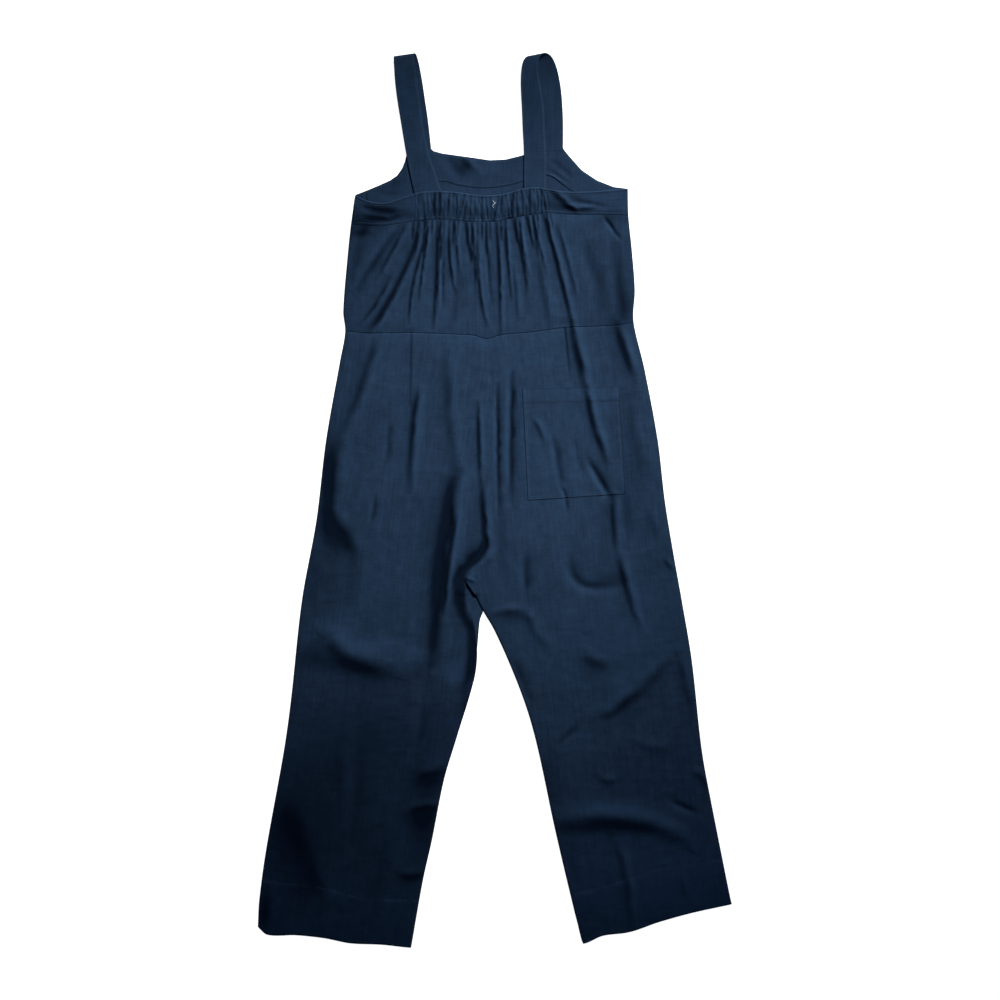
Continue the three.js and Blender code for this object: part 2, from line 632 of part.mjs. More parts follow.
// Underside of the casing: over the facing, higher where it covers the strap ends
function casingUnderside(x, down) {
  const overStraps = smooth(x, CASING_LEFT - 75, CASING_LEFT) * (1 - smooth(x, CASING_RIGHT, CASING_RIGHT + 100))
    * (1 - smooth(down, 0.5, 0.95));
  const upper = lerp(FACING_TOP + SEAM_GAP, STRAP_TOP + SEAM_GAP, overStraps);
  const low = lerp(upper, BACK_LOW + 0.5, smooth(down, 0.6, 1));
  const fromSide = Math.min(x - leftSide(425), rightSide(425) - x);
  return lerp(BACK_LOW, low, smooth(fromSide, 0, 11));
}

// Back casing: the elastic band across the top of the back
function backBand() {
  const columns = gatherColumns();
  const outer = [];
  const inner = [];
  for (let row = 0; row <= CASING_ROWS; row += 1) {
    const down = row / CASING_ROWS;
    const sides = [leftSide(lerp(444, 401, down)), rightSide(lerp(453, 414, down))];
    const edges = [sides[0], CASING_LEFT, CASING_RIGHT, sides[1]];
    const round = Math.sin(Math.PI * clamp(down, 0.08, 0.92));
    const lines = columns.map((column) => {
      const x = zonePlace(column, edges);
      const y = lerp(casingTop(x), casingLow(x) + SEAM_GAP / 2, down);
      const low = casingUnderside(x, down);
      const gathers = gatherWave(column, CASING_GATHER_HIGH) * (0.35 + 0.65 * round);
      return { x, y, low, high: low + CLOTH + 0.4 * round + gathers };
    });
    outer.push(lines.map(({ x, y, high }) => new THREE.Vector3(x, y, high)));
    if (row % 2 === 0) {
      inner.push(innerColumns(columns).map((i) => (
        new THREE.Vector3(lines[i].x, lines[i].y, lines[i].low))));
    }
  }
  const geometry = wallGeometry(outer, inner, innerColumns(columns), everyLine(outer.length, 2));
  return clothMesh('back_band', geometry, 1.05);
}

// Back bodice: gathered under the casing, with its folds fanning out to the waist
function backBodice() {
  const columns = gatherColumns();
  const outer = [];
  for (let row = 0; row <= BODICE_ROWS; row += 1) {
    const down = (row / BODICE_ROWS) ** 1.15;
    const left = leftSide(lerp(401, 246, down));
    const right = rightSide(lerp(414, 259, down));
    const gatherLeft = lerp(CASING_LEFT, WAIST_GATHER_LEFT, down);
    const gatherRight = lerp(CASING_RIGHT, WAIST_GATHER_RIGHT, down);
    outer.push(columns.map((column) => {
      const x = zonePlace(column, [left, gatherLeft, gatherRight, right]);
      const top = casingLow(x) - SEAM_GAP / 2;
      const y = lerp(top, waist(x) + SEAM_GAP / 2, down);
      const dips = seamDip(y - waist(x)) + 0.4 * seamDip(top - y);
      const rise = sideRise(Math.min(x - left, right - x)) * (PUFF - dips + foldsAt(x, y));
      const gathers = gatherWave(column, BODICE_GATHER_HIGH)
        * Math.exp(-(((top - y) / BODICE_GATHER_REACH) ** 2));
      return new THREE.Vector3(x, y, Math.max(BACK_RIM + rise + gathers, BACK_RIM));
    }));
  }
  const kept = innerColumns(columns);
  const rows = everyLine(outer.length, 2);
  const inner = innerPoints(outer, kept, rows, BACK_LOW);
  return clothMesh('back_bodice', wallGeometry(outer, inner, kept, rows), 1);
}

// Grid rows of a back leg, between the lines of cloth in the table
function legRows(side) {
  const rows = [];
  LEG_LINES.forEach((line, number) => {
    const before = LEG_LINES[Math.max(number - 1, 0)];
    const first = number === 0 ? 0 : 1;
    for (let step = first; step <= line.steps; step += 1) {
      const t = line.steps ? step / line.steps : 0;
      rows.push({
        inner: lerp(before[`inner${side}`], line[`inner${side}`], t),
        outer: lerp(before[`outer${side}`], line[`outer${side}`], t),
        hem: line.line === 'hem' || (line.line === 'hem stitch' && step === line.steps),
      });
    }
  });
  return rows;
}

function stepsDownTo(name) {
  const last = LEG_LINES.findIndex(({ line }) => line === name);
  return LEG_LINES.slice(0, last + 1).reduce((sum, { steps }) => sum + steps, 0);
}

const POCKET_FIRST_ROW = stepsDownTo('pocket top');
const POCKET_LAST_ROW = stepsDownTo('pocket end');
const CROTCH_ROW = stepsDownTo('crotch');

// Shares of a row of the right leg: the pocket's sides lie on two of its columns
function besidePocket(number, innerX, outerX) {
  const t = clamp((number - POCKET_FIRST_ROW) / (POCKET_LAST_ROW - POCKET_FIRST_ROW), 0, 1);
  const level = lerp(164, 5, t);
  const seam = backSeam(level);
  const width = rightSide(level) - seam;
  const onPocketRows = number >= POCKET_FIRST_ROW && number <= POCKET_LAST_ROW;
  const from = onPocketRows ? innerX : seam;
  const across = onPocketRows ? outerX - innerX : width;
  const left = (lerp(POCKET.topLeft, POCKET.bottomLeft, t) - from) / across;
  const right = (lerp(POCKET.topRight, POCKET.bottomRight, t) - from) / across;
  return [
    ...BESIDE_POCKET_INNER.map((share) => share * left),
    ...evenSteps(left, right, POCKET_STEPS),
    ...BESIDE_POCKET_OUTER.map((share) => lerp(right, 1, share)),
  ];
}

// Outer points of a back leg, from its inner edge to its side seam
function legPoints({ side, sideAt, innerAt, hemAt, sharesAt, toSide }) {
  const rows = legRows(side);
  const last = rows.length - 1;
  return rows.map((row, number) => {
    const onSeam = number <= CROTCH_ROW;
    const innerX = (onSeam ? backSeam(row.inner) : innerAt(row.inner)) + toSide * SEAM_GAP / 2;
    const outerX = sideAt(row.outer);
    const nearWaist = Math.exp(-((number / 4) ** 2));
    const nearHem = Math.exp(-(((last - number) / 3) ** 2));
    return sharesAt(number, innerX, outerX).map((share) => {
      const x = lerp(innerX, outerX, share);
      const waistBow = waist(x) - SEAM_GAP / 2 - lerp(rows[0].inner, rows[0].outer, share);
      const hemBow = hemAt(x) - lerp(rows[last].inner, rows[last].outer, share);
      const y = lerp(row.inner, row.outer, share) + waistBow * nearWaist + hemBow * nearHem;
      const inside = Math.abs(x - innerX);
      const outside = Math.abs(outerX - x);
      const rolled = onSeam ? sideRise(outside) : Math.min(sideRise(outside), sideRise(inside));
      const dips = seamDip(waist(x) - y) + (onSeam ? 0.8 * seamDip(inside) : 0) + 0.9 * nearHem;
      const rise = rolled * (PUFF - dips + foldsAt(x, y)) + (row.hem ? HEM_RISE : 0);
      return new THREE.Vector3(x, y, Math.max(BACK_RIM + rise, BACK_RIM));
    });
  });
}

const LEFT_LEG = {
  side: 'Left',
  sideAt: leftSide,
  innerAt: innerBackLeft,
  hemAt: hemLeft,
  sharesAt: () => LEFT_LEG_COLUMNS,
  toSide: -1,
};
const RIGHT_LEG = {
  side: 'Right',
  sideAt: rightSide,
  innerAt: innerBackRight,
  hemAt: hemRight,
  sharesAt: besidePocket,
  toSide: 1,
};

// Back legs, and the patch pocket made from the points under it, moved out
function backLegs() {
  const leftPoints = legPoints(LEFT_LEG).map((row) => row.reverse());
  const rightPoints = legPoints(RIGHT_LEG);
  const wall = (points) => {
    const columns = everyLine(points[0].length, 1);
    const rows = everyLine(points.length, 1).filter((row) => row <= CROTCH_ROW || row % 2 === 0);
    return wallGeometry(points, innerPoints(points, columns, rows, BACK_LOW), columns, rows);
  };
  const firstColumn = BESIDE_POCKET_INNER.length;
  const under = rightPoints.slice(POCKET_FIRST_ROW, POCKET_LAST_ROW + 1)
    .map((row) => row.slice(firstColumn, firstColumn + POCKET_STEPS + 1));
  const lifted = (height) => under.map((row, number) => row.map(({ x, y, z }) => (
    new THREE.Vector3(x, y, z + height(number)))));
  const pocketLow = lifted(() => SEAM_GAP);
  const pocketTop = lifted((number) => SEAM_GAP + CLOTH + (number < 2 ? POCKET_HEM_RISE : 0));
  const lines = everyLine(POCKET_STEPS + 1, 1);
  return [
    clothMesh('leg_back_left', wall(leftPoints), 1),
    clothMesh('leg_back_right', wall(rightPoints), 1),
    clothMesh('back_pocket', wallGeometry(pocketTop, pocketLow, lines, lines), 1.08),
  ];
}

// Shoulder strap: a flat band of two layers that turns over at the shoulder
function strap(name, table) {
  const places = table.map(({ leftX, leftY, leftZ }) => new THREE.Vector3(leftX, leftY, leftZ));
  const others = table.map(({ rightX, rightY, rightZ }) => new THREE.Vector3(rightX, rightY, rightZ));
  const loops = places.map((left, i) => {
    const right = others[i];
    const before = Math.max(i - 1, 0);
    const after = Math.min(i + 1, places.length - 1);
    const along = places[after].clone().add(others[after]).sub(places[before]).sub(others[before]);
    const across = right.clone().sub(left);
    const half = new THREE.Vector3().crossVectors(across, along).normalize()
      .multiplyScalar(STRAP_CLOTH / 2);
    return [
      left.clone().add(half),
      right.clone().add(half),
      right.clone().sub(half),
      left.clone().sub(half),
    ];
  });
  const sides = 4;
  const index = [0, 2, 1, 0, 3, 2];
  for (let i = 0; i + 1 < loops.length; i += 1) {
    for (let side = 0; side < sides; side += 1) {
      const a = i * sides + side;
      const b = i * sides + (side + 1) % sides;
      index.push(a, b, b + sides, a, b + sides, a + sides);
    }
  }
  const end = (loops.length - 1) * sides;
  index.push(end, end + 1, end + 2, end, end + 2, end + 3);
  const geometry = new THREE.BufferGeometry().setFromPoints(loops.flat());
  geometry.setIndex(index);
  return clothMesh(name, geometry, 1.02);
}

const jumpsuit = new THREE.Group();
jumpsuit.name = 'jumpsuit';
jumpsuit.add(
  frontBodice(),
  frontFacing(),
  ...frontLegs(),
  strap('strap_left', LEFT_STRAP),
  strap('strap_right', RIGHT_STRAP),
  backBodice(),
  backBand(),
  ...backLegs(),
);

export default jumpsuit;
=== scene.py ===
"""A cropped navy linen jumpsuit, laid flat with its back up, on a pale floor."""

import math

import bmesh
import bpy
import numpy as np
from bpy.props import FloatProperty, FloatVectorProperty, PointerProperty
from mathutils import Matrix, Vector


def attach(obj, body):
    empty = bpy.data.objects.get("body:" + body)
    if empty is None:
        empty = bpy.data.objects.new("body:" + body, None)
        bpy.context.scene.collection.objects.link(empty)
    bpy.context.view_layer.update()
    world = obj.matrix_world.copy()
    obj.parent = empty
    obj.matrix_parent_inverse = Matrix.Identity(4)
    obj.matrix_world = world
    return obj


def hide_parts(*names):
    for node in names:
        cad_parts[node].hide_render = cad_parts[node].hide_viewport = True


bl_info = {
    "name": "Linen Jumpsuit",
    "version": (1, 0, 0),
    "blender": (4, 5, 0),
    "location": "View3D > Sidebar > Jumpsuit",
    "description": "Makes a navy linen jumpsuit, laid flat with its back up, and its stage",
    "category": "Add Mesh",
}

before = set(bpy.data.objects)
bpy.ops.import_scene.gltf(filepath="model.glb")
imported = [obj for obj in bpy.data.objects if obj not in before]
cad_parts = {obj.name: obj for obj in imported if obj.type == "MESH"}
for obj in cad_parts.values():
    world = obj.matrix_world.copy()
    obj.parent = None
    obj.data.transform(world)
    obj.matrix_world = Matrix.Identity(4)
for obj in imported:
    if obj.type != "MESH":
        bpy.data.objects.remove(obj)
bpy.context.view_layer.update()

# Shapes are worked out in millimetres: X across, Y up to the shoulders, Z up.
MM = 0.001

# Levels of the layers above the floor, the swell of the back panels, and how far in from an
# edge the swell is full
FRONT_TOP = 0.95
FACING_TOP = 2.3
STRAP_TOP = 4.4
BACK_LOW = 1.5
BACK_RIM = 2.7
PUFF = 2.6
PUFF_REACH = 26

# Heights at which the left and right side seams meet the underarm, the casing seam and the
# waist seam, and at which the back seam meets the waist
UNDERARM = (444, 453)
CASING_SEAM = (401, 414)
WAIST_SEAM = (246, 259)
WAIST_MIDDLE = 235
CASING_MIDDLE = 425

# Where the waist seam starts on the left, and its length across
WAIST_START = -217.2
WAIST_LENGTH = 418.8

# Ends of the facing, and the places between which the gathers of the casing start and end
FACING_ENDS = (-186, 172)
GATHERS_BEGIN = (-124, -112)
GATHERS_END = (74, 84)

# Heights of the crotch at the back and at the front, and the height down to which a sliver
# of the left front leg shows. The front panels stay a little inside the back ones.
CROTCH = -115
FRONT_CROTCH = -152
FRONT_SLIVER = -224
FRONT_INSET = 0.8

# Thickness of the facing and the pocket, and the rounding of a strap's edge, in metres
FACING_THICKNESS = 0.0005
POCKET_THICKNESS = 0.0007
STRAP_ROUNDING = 0.0006

# Turn of the threads on a leg and on the casing, in radians, and the waves of the weave, in
# radians to a metre
LEG_GRAIN = 0.12
CASING_GRAIN = 1.5708
WEAVE_WAVES = 10470

# Distances of the stitching from the edges beside it, and the ends of its lines
STITCH_RADIUS = 0.32
CASING_STITCH_TOP = 4.2
CASING_STITCH_LOW = 4.0
CASING_STITCH_ENDS = (-200, 191)
HEM_STITCH_ENDS = [(-335, -112), (113, 326)]
FACING_STITCH = 2.5
FACING_STITCH_ENDS = (-92, 64)
STRAP_WIDTH = 33
STRAP_STITCH = 2.2
STRAP_STITCH_SHARE = 0.985

# Patch pocket: its top corners, its bottom corners and its sizes
POCKET_TOP = [(39.4, 163.4), (180, 166.1)]
POCKET_BOTTOM = [(47.6, 0.1), (190, 10.0)]
POCKET_DEPTH = 160
POCKET_WIDTH = 140.6
POCKET_HEM = 22
POCKET_STITCH = 2.0
POCKET_STITCH_FAR = 138.5

# The stage: the side that both lights come from, across and along the floor, how high they
# stand, how far away they are, and the floor and the camera, in metres
LIGHT_SIDE = (0.375, 0.927)
LIGHT_RISE = 0.937
LIGHT_DISTANCE = 2.77
FLOOR_LEVEL = -0.0003
FLOOR_REACH = 40.0
CAMERA_PLACE = (0.0075, 0.0012, 3.428)

# Cells across and down the grid of each panel
GRIDS = {
    "bodice_front": (170, 120), "neck_facing": (240, 36),
    "leg_left_front": (60, 180), "leg_right_front": (60, 180),
    "strap_left_cloth": (16, 220), "strap_right_cloth": (16, 220),
    "bodice_back": (300, 110), "casing_back": (460, 34),
    "leg_left_back": (110, 360), "leg_right_back": (110, 360), "pocket_back": (90, 100),
}


def lerp(low, high, share):
    """Place between two values."""
    return low + (high - low) * share


def smooth(value, low, high):
    """Soft step from 0 at LOW to 1 at HIGH."""
    t = np.clip((value - low) / (high - low), 0, 1)
    return t * t * (3 - 2 * t)


def bump(distance, wide):
    """Soft rise that is 1 on a line and gone a little past WIDE from it."""
    return np.exp(-(distance / wide) ** 2)


class Line:
    """A smooth line through pairs of numbers, read at any place between them."""

    def __init__(self, pairs):
        self.keys, self.values = np.array(sorted(pairs), dtype=float).T
        last = len(self.keys) - 1
        low = np.maximum(np.arange(last + 1) - 1, 0)
        high = np.minimum(np.arange(last + 1) + 1, last)
        self.slopes = (self.values[high] - self.values[low]) / (self.keys[high] - self.keys[low])

    def __call__(self, place):
        place = np.clip(place, self.keys[0], self.keys[-1])
        i = np.clip(np.searchsorted(self.keys, place) - 1, 0, len(self.keys) - 2)
        step = self.keys[i + 1] - self.keys[i]
        t = (place - self.keys[i]) / step
        from_low = self.values[i] * (2 * t ** 3 - 3 * t ** 2 + 1)
        from_high = self.values[i + 1] * (3 * t ** 2 - 2 * t ** 3)
        low_slope = self.slopes[i] * step * (t ** 3 - 2 * t ** 2 + t)
        high_slope = self.slopes[i + 1] * step * (t ** 3 - t ** 2)
        return from_low + low_slope + from_high + high_slope


# Side seams, as X over Y, from the underarm to the hem
left_side = Line([
    (444, -202.7), (404, -208.5), (352, -214), (275, -220), (246, -217.2), (204, -224.5), (88, -245),
    (-28, -259), (-144, -280), (-289, -296), (-361, -306), (-506, -332), (-579, -342), (-618, -344),
])
right_side = Line([
    (453, 193), (414, 194), (364, 199), (306, 203.3), (260, 201.5), (190, 217.5), (88, 236.6), (1, 246.8),
    (-71, 258.4), (-144, 271.4), (-231, 285.9), (-361, 300.4), (-434, 313.5), (-579, 342.5), (-585, 344),
])

# Centre seams and inner leg seams, as X over Y
back_seam = Line([
    (235, -11.3), (161, -4), (88, 0.3), (16, -1.2), (-42, -8.4), (-79, -18.6), (-103, -33), (-115, -43.5),
])
front_seam = Line([
    (235, -9), (100, 0), (-60, -4), (-152, -16),
])
inner_back_left = Line([
    (-115, -43.5), (-137, -38.9), (-190, -28.7), (-224, -25.8), (-260, -30.2), (-347, -56.3),
    (-405, -73.7), (-492, -91.1), (-550, -104.1), (-648, -121.5),
])
inner_back_right = Line([
    (-115, -43.5), (-132, -31.6), (-160, -17.1), (-187, -1.2), (-245, 24.9), (-303, 46.7), (-361, 62.6),
    (-477, 87.3), (-593, 114.8), (-642, 127.9),
])
inner_front_left = Line([
    (-152, -16), (-161, -17.1), (-173, -21.5), (-202, -24.4), (-224, -26.3),
])

# Seams and edges that run across, as Y over X
waist = Line([
    (-220, 246), (-182, 243), (-121, 243.5), (-60, 241.5), (-30, 239.5), (-11.3, 235), (9, 240.5),
    (57, 245), (102, 251), (176, 254.5), (206, 260),
])
casing_low = Line([
    (-210, 401), (-166, 398.5), (-111, 406), (-79, 408), (-34, 404.5), (2, 405), (38, 412), (76, 417),
    (110, 415), (196, 414),
])
casing_top = Line([
    (-205, 444), (-181, 434.5), (-159, 432.5), (-142, 436.7), (-118, 445), (-101, 448.5), (-65, 448.5),
    (-17, 443), (13, 445), (38, 452), (62, 454.7), (97, 449), (134, 448.6), (195, 453.5),
])
hem_left = Line([
    (-345, -617), (-330, -629.2), (-288, -630), (-247, -634.4), (-211, -641.5), (-162, -644),
    (-121, -648.5),
])
hem_right = Line([
    (127, -643), (135, -640.5), (156, -631), (195, -625.5), (239, -610.7), (288, -597.2), (344.5, -585),
])
facing_edge = Line([
    (-186, 424), (-160, 424), (-132, 437), (-104, 452), (-78, 463.5), (-53, 458), (-21, 454), (15, 457),
    (42, 464), (67, 472), (84, 470), (102, 456), (120, 446), (156, 441), (172, 442),
])
hem_stitch_left = Line([
    (-340, -550), (-324, -553), (-259, -560), (-187, -577), (-113, -580),
])
hem_stitch_right = Line([
    (108, -574), (115, -572), (189, -551), (241, -534), (329, -521),
])

# Corners of the neck and the armholes of the front bodice, joined by straight lines
NECK_AND_ARMHOLES = [
    (-202.7, 444), (-185.3, 450.7), (-166.5, 458.6), (-152, 465.2), (-141.8, 472.4), (-134.6, 482.6),
    (-129, 497), (-126.5, 512), (-93, 512), (-89.6, 508), (-76.6, 504.3), (-30.2, 497.8), (-7, 494.4),
    (16.2, 495.6), (39.4, 501.4), (57, 506), (65, 512), (99, 512), (103.2, 506), (113.4, 494.2),
    (126.4, 479.7), (148.2, 465.2), (172.8, 455.5), (193, 453),
]

# Lines of cloth across a leg: the height at its inner end, and at its outer end
LEG_LINES_LEFT = [
    (235, 246), (160.8, 166), (-3.4, 6), (-115, -104), (-581, -551), (-648, -618),
]
LEG_LINES_RIGHT = [
    (235, 259), (160.8, 167.2), (-3.4, 13.9), (-115, -96), (-575, -518), (-642, -585),
]

# Waist darts: X and Y at the top, X and Y at the tip
DARTS = [(-120.8, 244, -122.5, 134), (102, 251, 109, 182)]

# Straps from the seam at the front over the shoulder to the casing:
# left edge X, Y, Z and right edge X, Y, Z of the middle of the cloth
LEFT_STRAP = [
    (-125, 507.5, 1, -92, 507.5, 1), (-130, 553, 0.85, -97, 553, 0.85),
    (-134, 580, 0.85, -101, 580, 0.85), (-138, 604, 0.85, -104.5, 604, 0.85),
    (-141.5, 622, 1.3, -108, 624, 1.3), (-144, 635, 2.8, -111, 638, 3),
    (-145.5, 642, 5.4, -113.5, 646, 5.8), (-146.4, 643.2, 8.2, -115.4, 647.6, 8.8),
    (-146.6, 639, 10.4, -116.4, 644, 11), (-146, 629, 10.2, -115.8, 634, 10.8),
    (-145, 612, 8.4, -114, 615, 8.8), (-143, 592, 6, -111, 594, 6.2),
    (-140.3, 573, 4.2, -108.3, 574, 4.2), (-137, 553, 3.6, -105.5, 553, 3.6),
    (-128, 499, 3.6, -95.5, 503, 3.6), (-122, 470, 3.6, -85.5, 474, 3.6),
    (-114.5, 436, 3.6, -74, 439, 3.6),
]
RIGHT_STRAP = [
    (65.5, 507.5, 1, 99, 507.5, 1), (65.5, 553, 0.85, 99, 553, 0.85), (65, 587, 0.85, 97.2, 587, 0.85),
    (64, 606, 0.85, 94.5, 608, 0.95), (62.5, 622, 1.5, 90.5, 626, 1.8), (59.5, 634, 3.2, 86, 638, 4),
    (55, 641, 5.8, 81, 645, 7.4), (50, 643.5, 8.8, 75, 647.75, 10.6),
    (44.5, 641.5, 10.8, 69.5, 646.5, 12.6), (40.5, 635.5, 11, 65, 641.5, 12.8),
    (38.4, 625, 9.8, 62.6, 631, 11.6), (37.4, 607, 7.6, 64, 612, 9.2), (38, 588, 5.2, 68, 592, 6.6),
    (39.2, 566, 3.7, 71.2, 568, 4.6), (40, 545, 3.6, 72.3, 545, 3.7), (42, 502, 3.6, 74.5, 502, 3.6),
    (42, 442, 3.6, 74, 442, 3.6),
]

# Folds of the back: three places on the dark line of a fold, its half width, its depth, and
# the side of its pale line: 1 on the right of the dark line, -1 on its left
BODICE_FOLDS = [
    (-139, 396, -175, 345, -203, 298, 5, 1.6, 1), (-104, 412, -132, 332, -182, 243, 4, 3.4, -1),
    (-94, 400, -117, 323, -126, 256, 2.6, 1.5, -1), (-85, 416, -85, 330, -91, 250, 3, 2.7, -1),
    (-66, 414, -66, 349, -57, 300, 2.6, 1.9, -1), (-45, 412, -39, 378, -35, 350, 2.3, 1.6, -1),
    (-26, 412, -24, 320, -12, 252, 2.9, 2.3, -1), (0, 418, 5, 349, 7, 240, 2.9, 2.9, -1),
    (22, 420, 39, 355, 46, 300, 2.9, 2.4, -1), (42, 422, 50, 393, 56, 365, 2.3, 1.6, -1),
    (67, 426, 89, 346, 113, 246, 3.6, 3.9, -1), (160, 412, 171, 397, 184, 380, 2.9, 1.5, 1),
    (173, 378, 182, 306, 188, 256, 8, 1.8, 1), (-54, 330, -56, 290, -62, 246, 6, 1.2, 1),
    (60, 352, 70, 306, 78, 256, 6, 1.6, -1), (-148, 300, -164, 270, -186, 246, 5, 1.4, -1),
    (128, 380, 146, 330, 160, 270, 9, 1.3, 1), (-190, 400, -200, 360, -207, 320, 6, 1.3, 1),
    (-72, 380, -76, 330, -74, 280, 2.6, 1.1, 1), (-12, 380, -8, 330, -4, 284, 2.8, 1.1, 1),
    (26, 340, 30, 300, 32, 262, 3.4, 1.1, -1), (-97, 396, -105, 340, -110, 290, 2.4, 1.3, -1),
    (-78, 404, -80, 350, -84, 270, 2.2, 1.2, -1), (-58, 404, -56, 370, -52, 330, 2.2, 1.2, -1),
    (-34, 404, -30, 360, -28, 300, 2.2, 1.2, -1), (12, 410, 18, 350, 24, 290, 2.4, 1.4, -1),
    (32, 412, 40, 370, 50, 320, 2.4, 1.2, -1), (54, 416, 62, 380, 74, 330, 2.4, 1.2, -1),
    (90, 400, 104, 350, 120, 290, 3, 1.1, -1), (-128, 404, -150, 360, -172, 320, 3, 1.3, -1),
    (-150, 330, -170, 290, -196, 256, 3.4, 1.4, -1),
]
SEAT_FOLDS = [
    (-172, 240, -196, 160, -219, 103, 6, 2.6, -1), (-219, 108, -237, 50, -242, -18, 9, 2.4, -1),
    (-244, -18, -222, -44, -202, -88, 9.5, 2.6, -1), (-203, -80, -208, -118, -213, -160, 12, 1.6, -1),
    (-112, 158, -119, 110, -126, 12, 4.6, 3, -1), (-152, 110, -153, 84, -155, 56, 4, 1.2, 1),
    (-172, 10, -174, -12, -178, -32, 3, 1.1, 1), (-71, 212, -70, 140, -57, 34, 7.5, 1.9, -1),
    (-56, 40, -74, -50, -93, -238, 10, 7.2, -1), (-55, -22, -68, -95, -75, -165, 3.6, 2.8, -1),
    (-25, 142, -24, 88, -22, 26, 3.2, 2.6, -1), (-20, 26, -17, -24, -14, -72, 4.6, 4.6, -1),
    (-10, -60, -32, -88, -54, -118, 6.4, 4.6, -1), (-54, -100, -52, -142, -36, -190, 8, 4.3, -1),
    (-43, -112, -37, -115, -30, -119, 2, 1.2, -1), (25, 184, 25, 104, 23, -2, 4.4, 3.6, 1),
    (4, 168, 5, 84, 6, -20, 3.2, 2.2, 1), (6, -10, 8, -60, 9, -112, 8, 1.3, 1),
    (46, -78, 46, -106, 45, -132, 5.4, 2, 1), (110, 256, 119, 212, 131, 160, 5.6, 4.2, -1),
    (131, 164, 141, 114, 163, 50, 5, 3.6, -1), (139, 58, 153, 34, 169, 6, 4.6, 3.6, 1),
    (169, 6, 172, -30, 175, -74, 5, 3.4, -1), (180, -82, 188, -118, 206, -182, 5.4, 3.6, -1),
    (114, -74, 125, -116, 184, -118, 7, 1.9, 1), (176, 256, 188, 214, 202, 178, 5.6, 3, -1),
    (194, 146, 200, 94, 213, 36, 8, 1.3, -1), (186, 10, 190, -16, 188, -44, 9, 1.3, -1),
    (222, -20, 229, -38, 236, -56, 7, 1.2, -1), (245, -86, 251, -93, 258, -100, 3.6, 1.4, -1),
    (103, 8, 105, -4, 106, -16, 2.4, 1.2, 1),
]
LEG_FOLDS = [
    (-246, -204, -212, -232, -152, -254, 13, 3.9, -1), (-6, -168, 20, -163, 46, -168, 6, 1.3, -1),
    (42, -164, 54, -186, 74, -216, 6.5, 1.6, -1), (150, -315, 190, -296, 262, -226, 8.5, 3, -1),
    (82, -474, 190, -470, 276, -502, 12, 4.2, -1), (258, -434, 274, -441, 294, -450, 4.6, 2, 1),
    (174, -500, 188, -550, 196, -622, 5.6, 2.2, -1), (124, -222, 146, -238, 170, -236, 9, 1.6, -1),
    (264, -226, 274, -262, 287, -316, 6.5, 1.7, -1), (286, -396, 300, -402, 308, -420, 5, 1.8, -1),
    (26, -228, 42, -263, 56, -296, 6, 1.3, 1), (-112, -396, -92, -398, -66, -388, 8, 1.3, -1),
    (-124, -452, -104, -448, -80, -446, 6, 1.6, -1), (-140, -540, -122, -546, -102, -540, 6, 1.3, -1),
    (-32, -168, -33, -224, -48, -276, 6.5, 1.9, 1), (-100, -300, -104, -330, -112, -352, 7, 0.9, 1),
    (-306, -440, -292, -476, -268, -524, 16, 2.2, -1), (-270, -516, -262, -548, -256, -590, 12, 1.3, -1),
    (-190, -340, -198, -420, -204, -500, 9, 0.8, 1), (-230, -350, -226, -400, -224, -450, 9, 0.7, -1),
    (150, -400, 164, -408, 180, -404, 5, 1.3, -1), (106, -500, 112, -530, 122, -560, 7, 1.2, 1),
    (-152, -486, -164, -540, -176, -600, 9, 0.8, -1), (-330, -570, -334, -596, -336, -620, 8, 1.2, -1),
    (262, -540, 272, -562, 284, -590, 7, 0.9, -1), (196, -350, 230, -362, 262, -360, 8, 0.9, -1),
    (92, -352, 108, -338, 120, -330, 5, 1.2, 1),
]
POCKET_FOLDS = [
    (54, 116, 64, 102, 71, 84, 4, 1.3, -1), (87, 92, 92, 59, 97, 22, 4.4, 1.6, 1),
    (98, 19, 102, 11, 105, 3, 2.4, 1.1, 1), (116, 92, 122, 62, 132, 34, 5, 0.8, 1),
]
INSIDE_FOLDS = [
    (-66, 502, -56, 484, -40, 470, 6, 1.5, 1), (-52, 500, -38, 486, -28, 476, 5, 1.1, -1),
    (76, 472, 90, 464, 104, 458, 3, 0.8, -1), (78, 482, 94, 472, 108, 462, 3, 0.7, 1),
    (84, 494, 98, 484, 112, 470, 3.4, 0.6, 1), (-168, 452, -150, 446, -132, 450, 5, 0.7, 1),
]
CASING_FOLDS = [
    (74, 458, 96, 436, 122, 414, 4, 1.8, -1), (112, 440, 136, 434, 160, 430, 4, 1.2, 1),
    (-192, 430, -172, 424, -140, 420, 5, 1.6, 1), (-186, 412, -160, 409, -134, 413, 4, 1.2, 1),
    (96, 428, 120, 422, 150, 424, 3.4, 1.2, -1),
]

# White tacking stitches in the middle of the casing: X and Y of both ends
TACKS = [(-4, 427, 2, 433), (-3, 435, 0, 431), (-1, 425, -4, 427)]

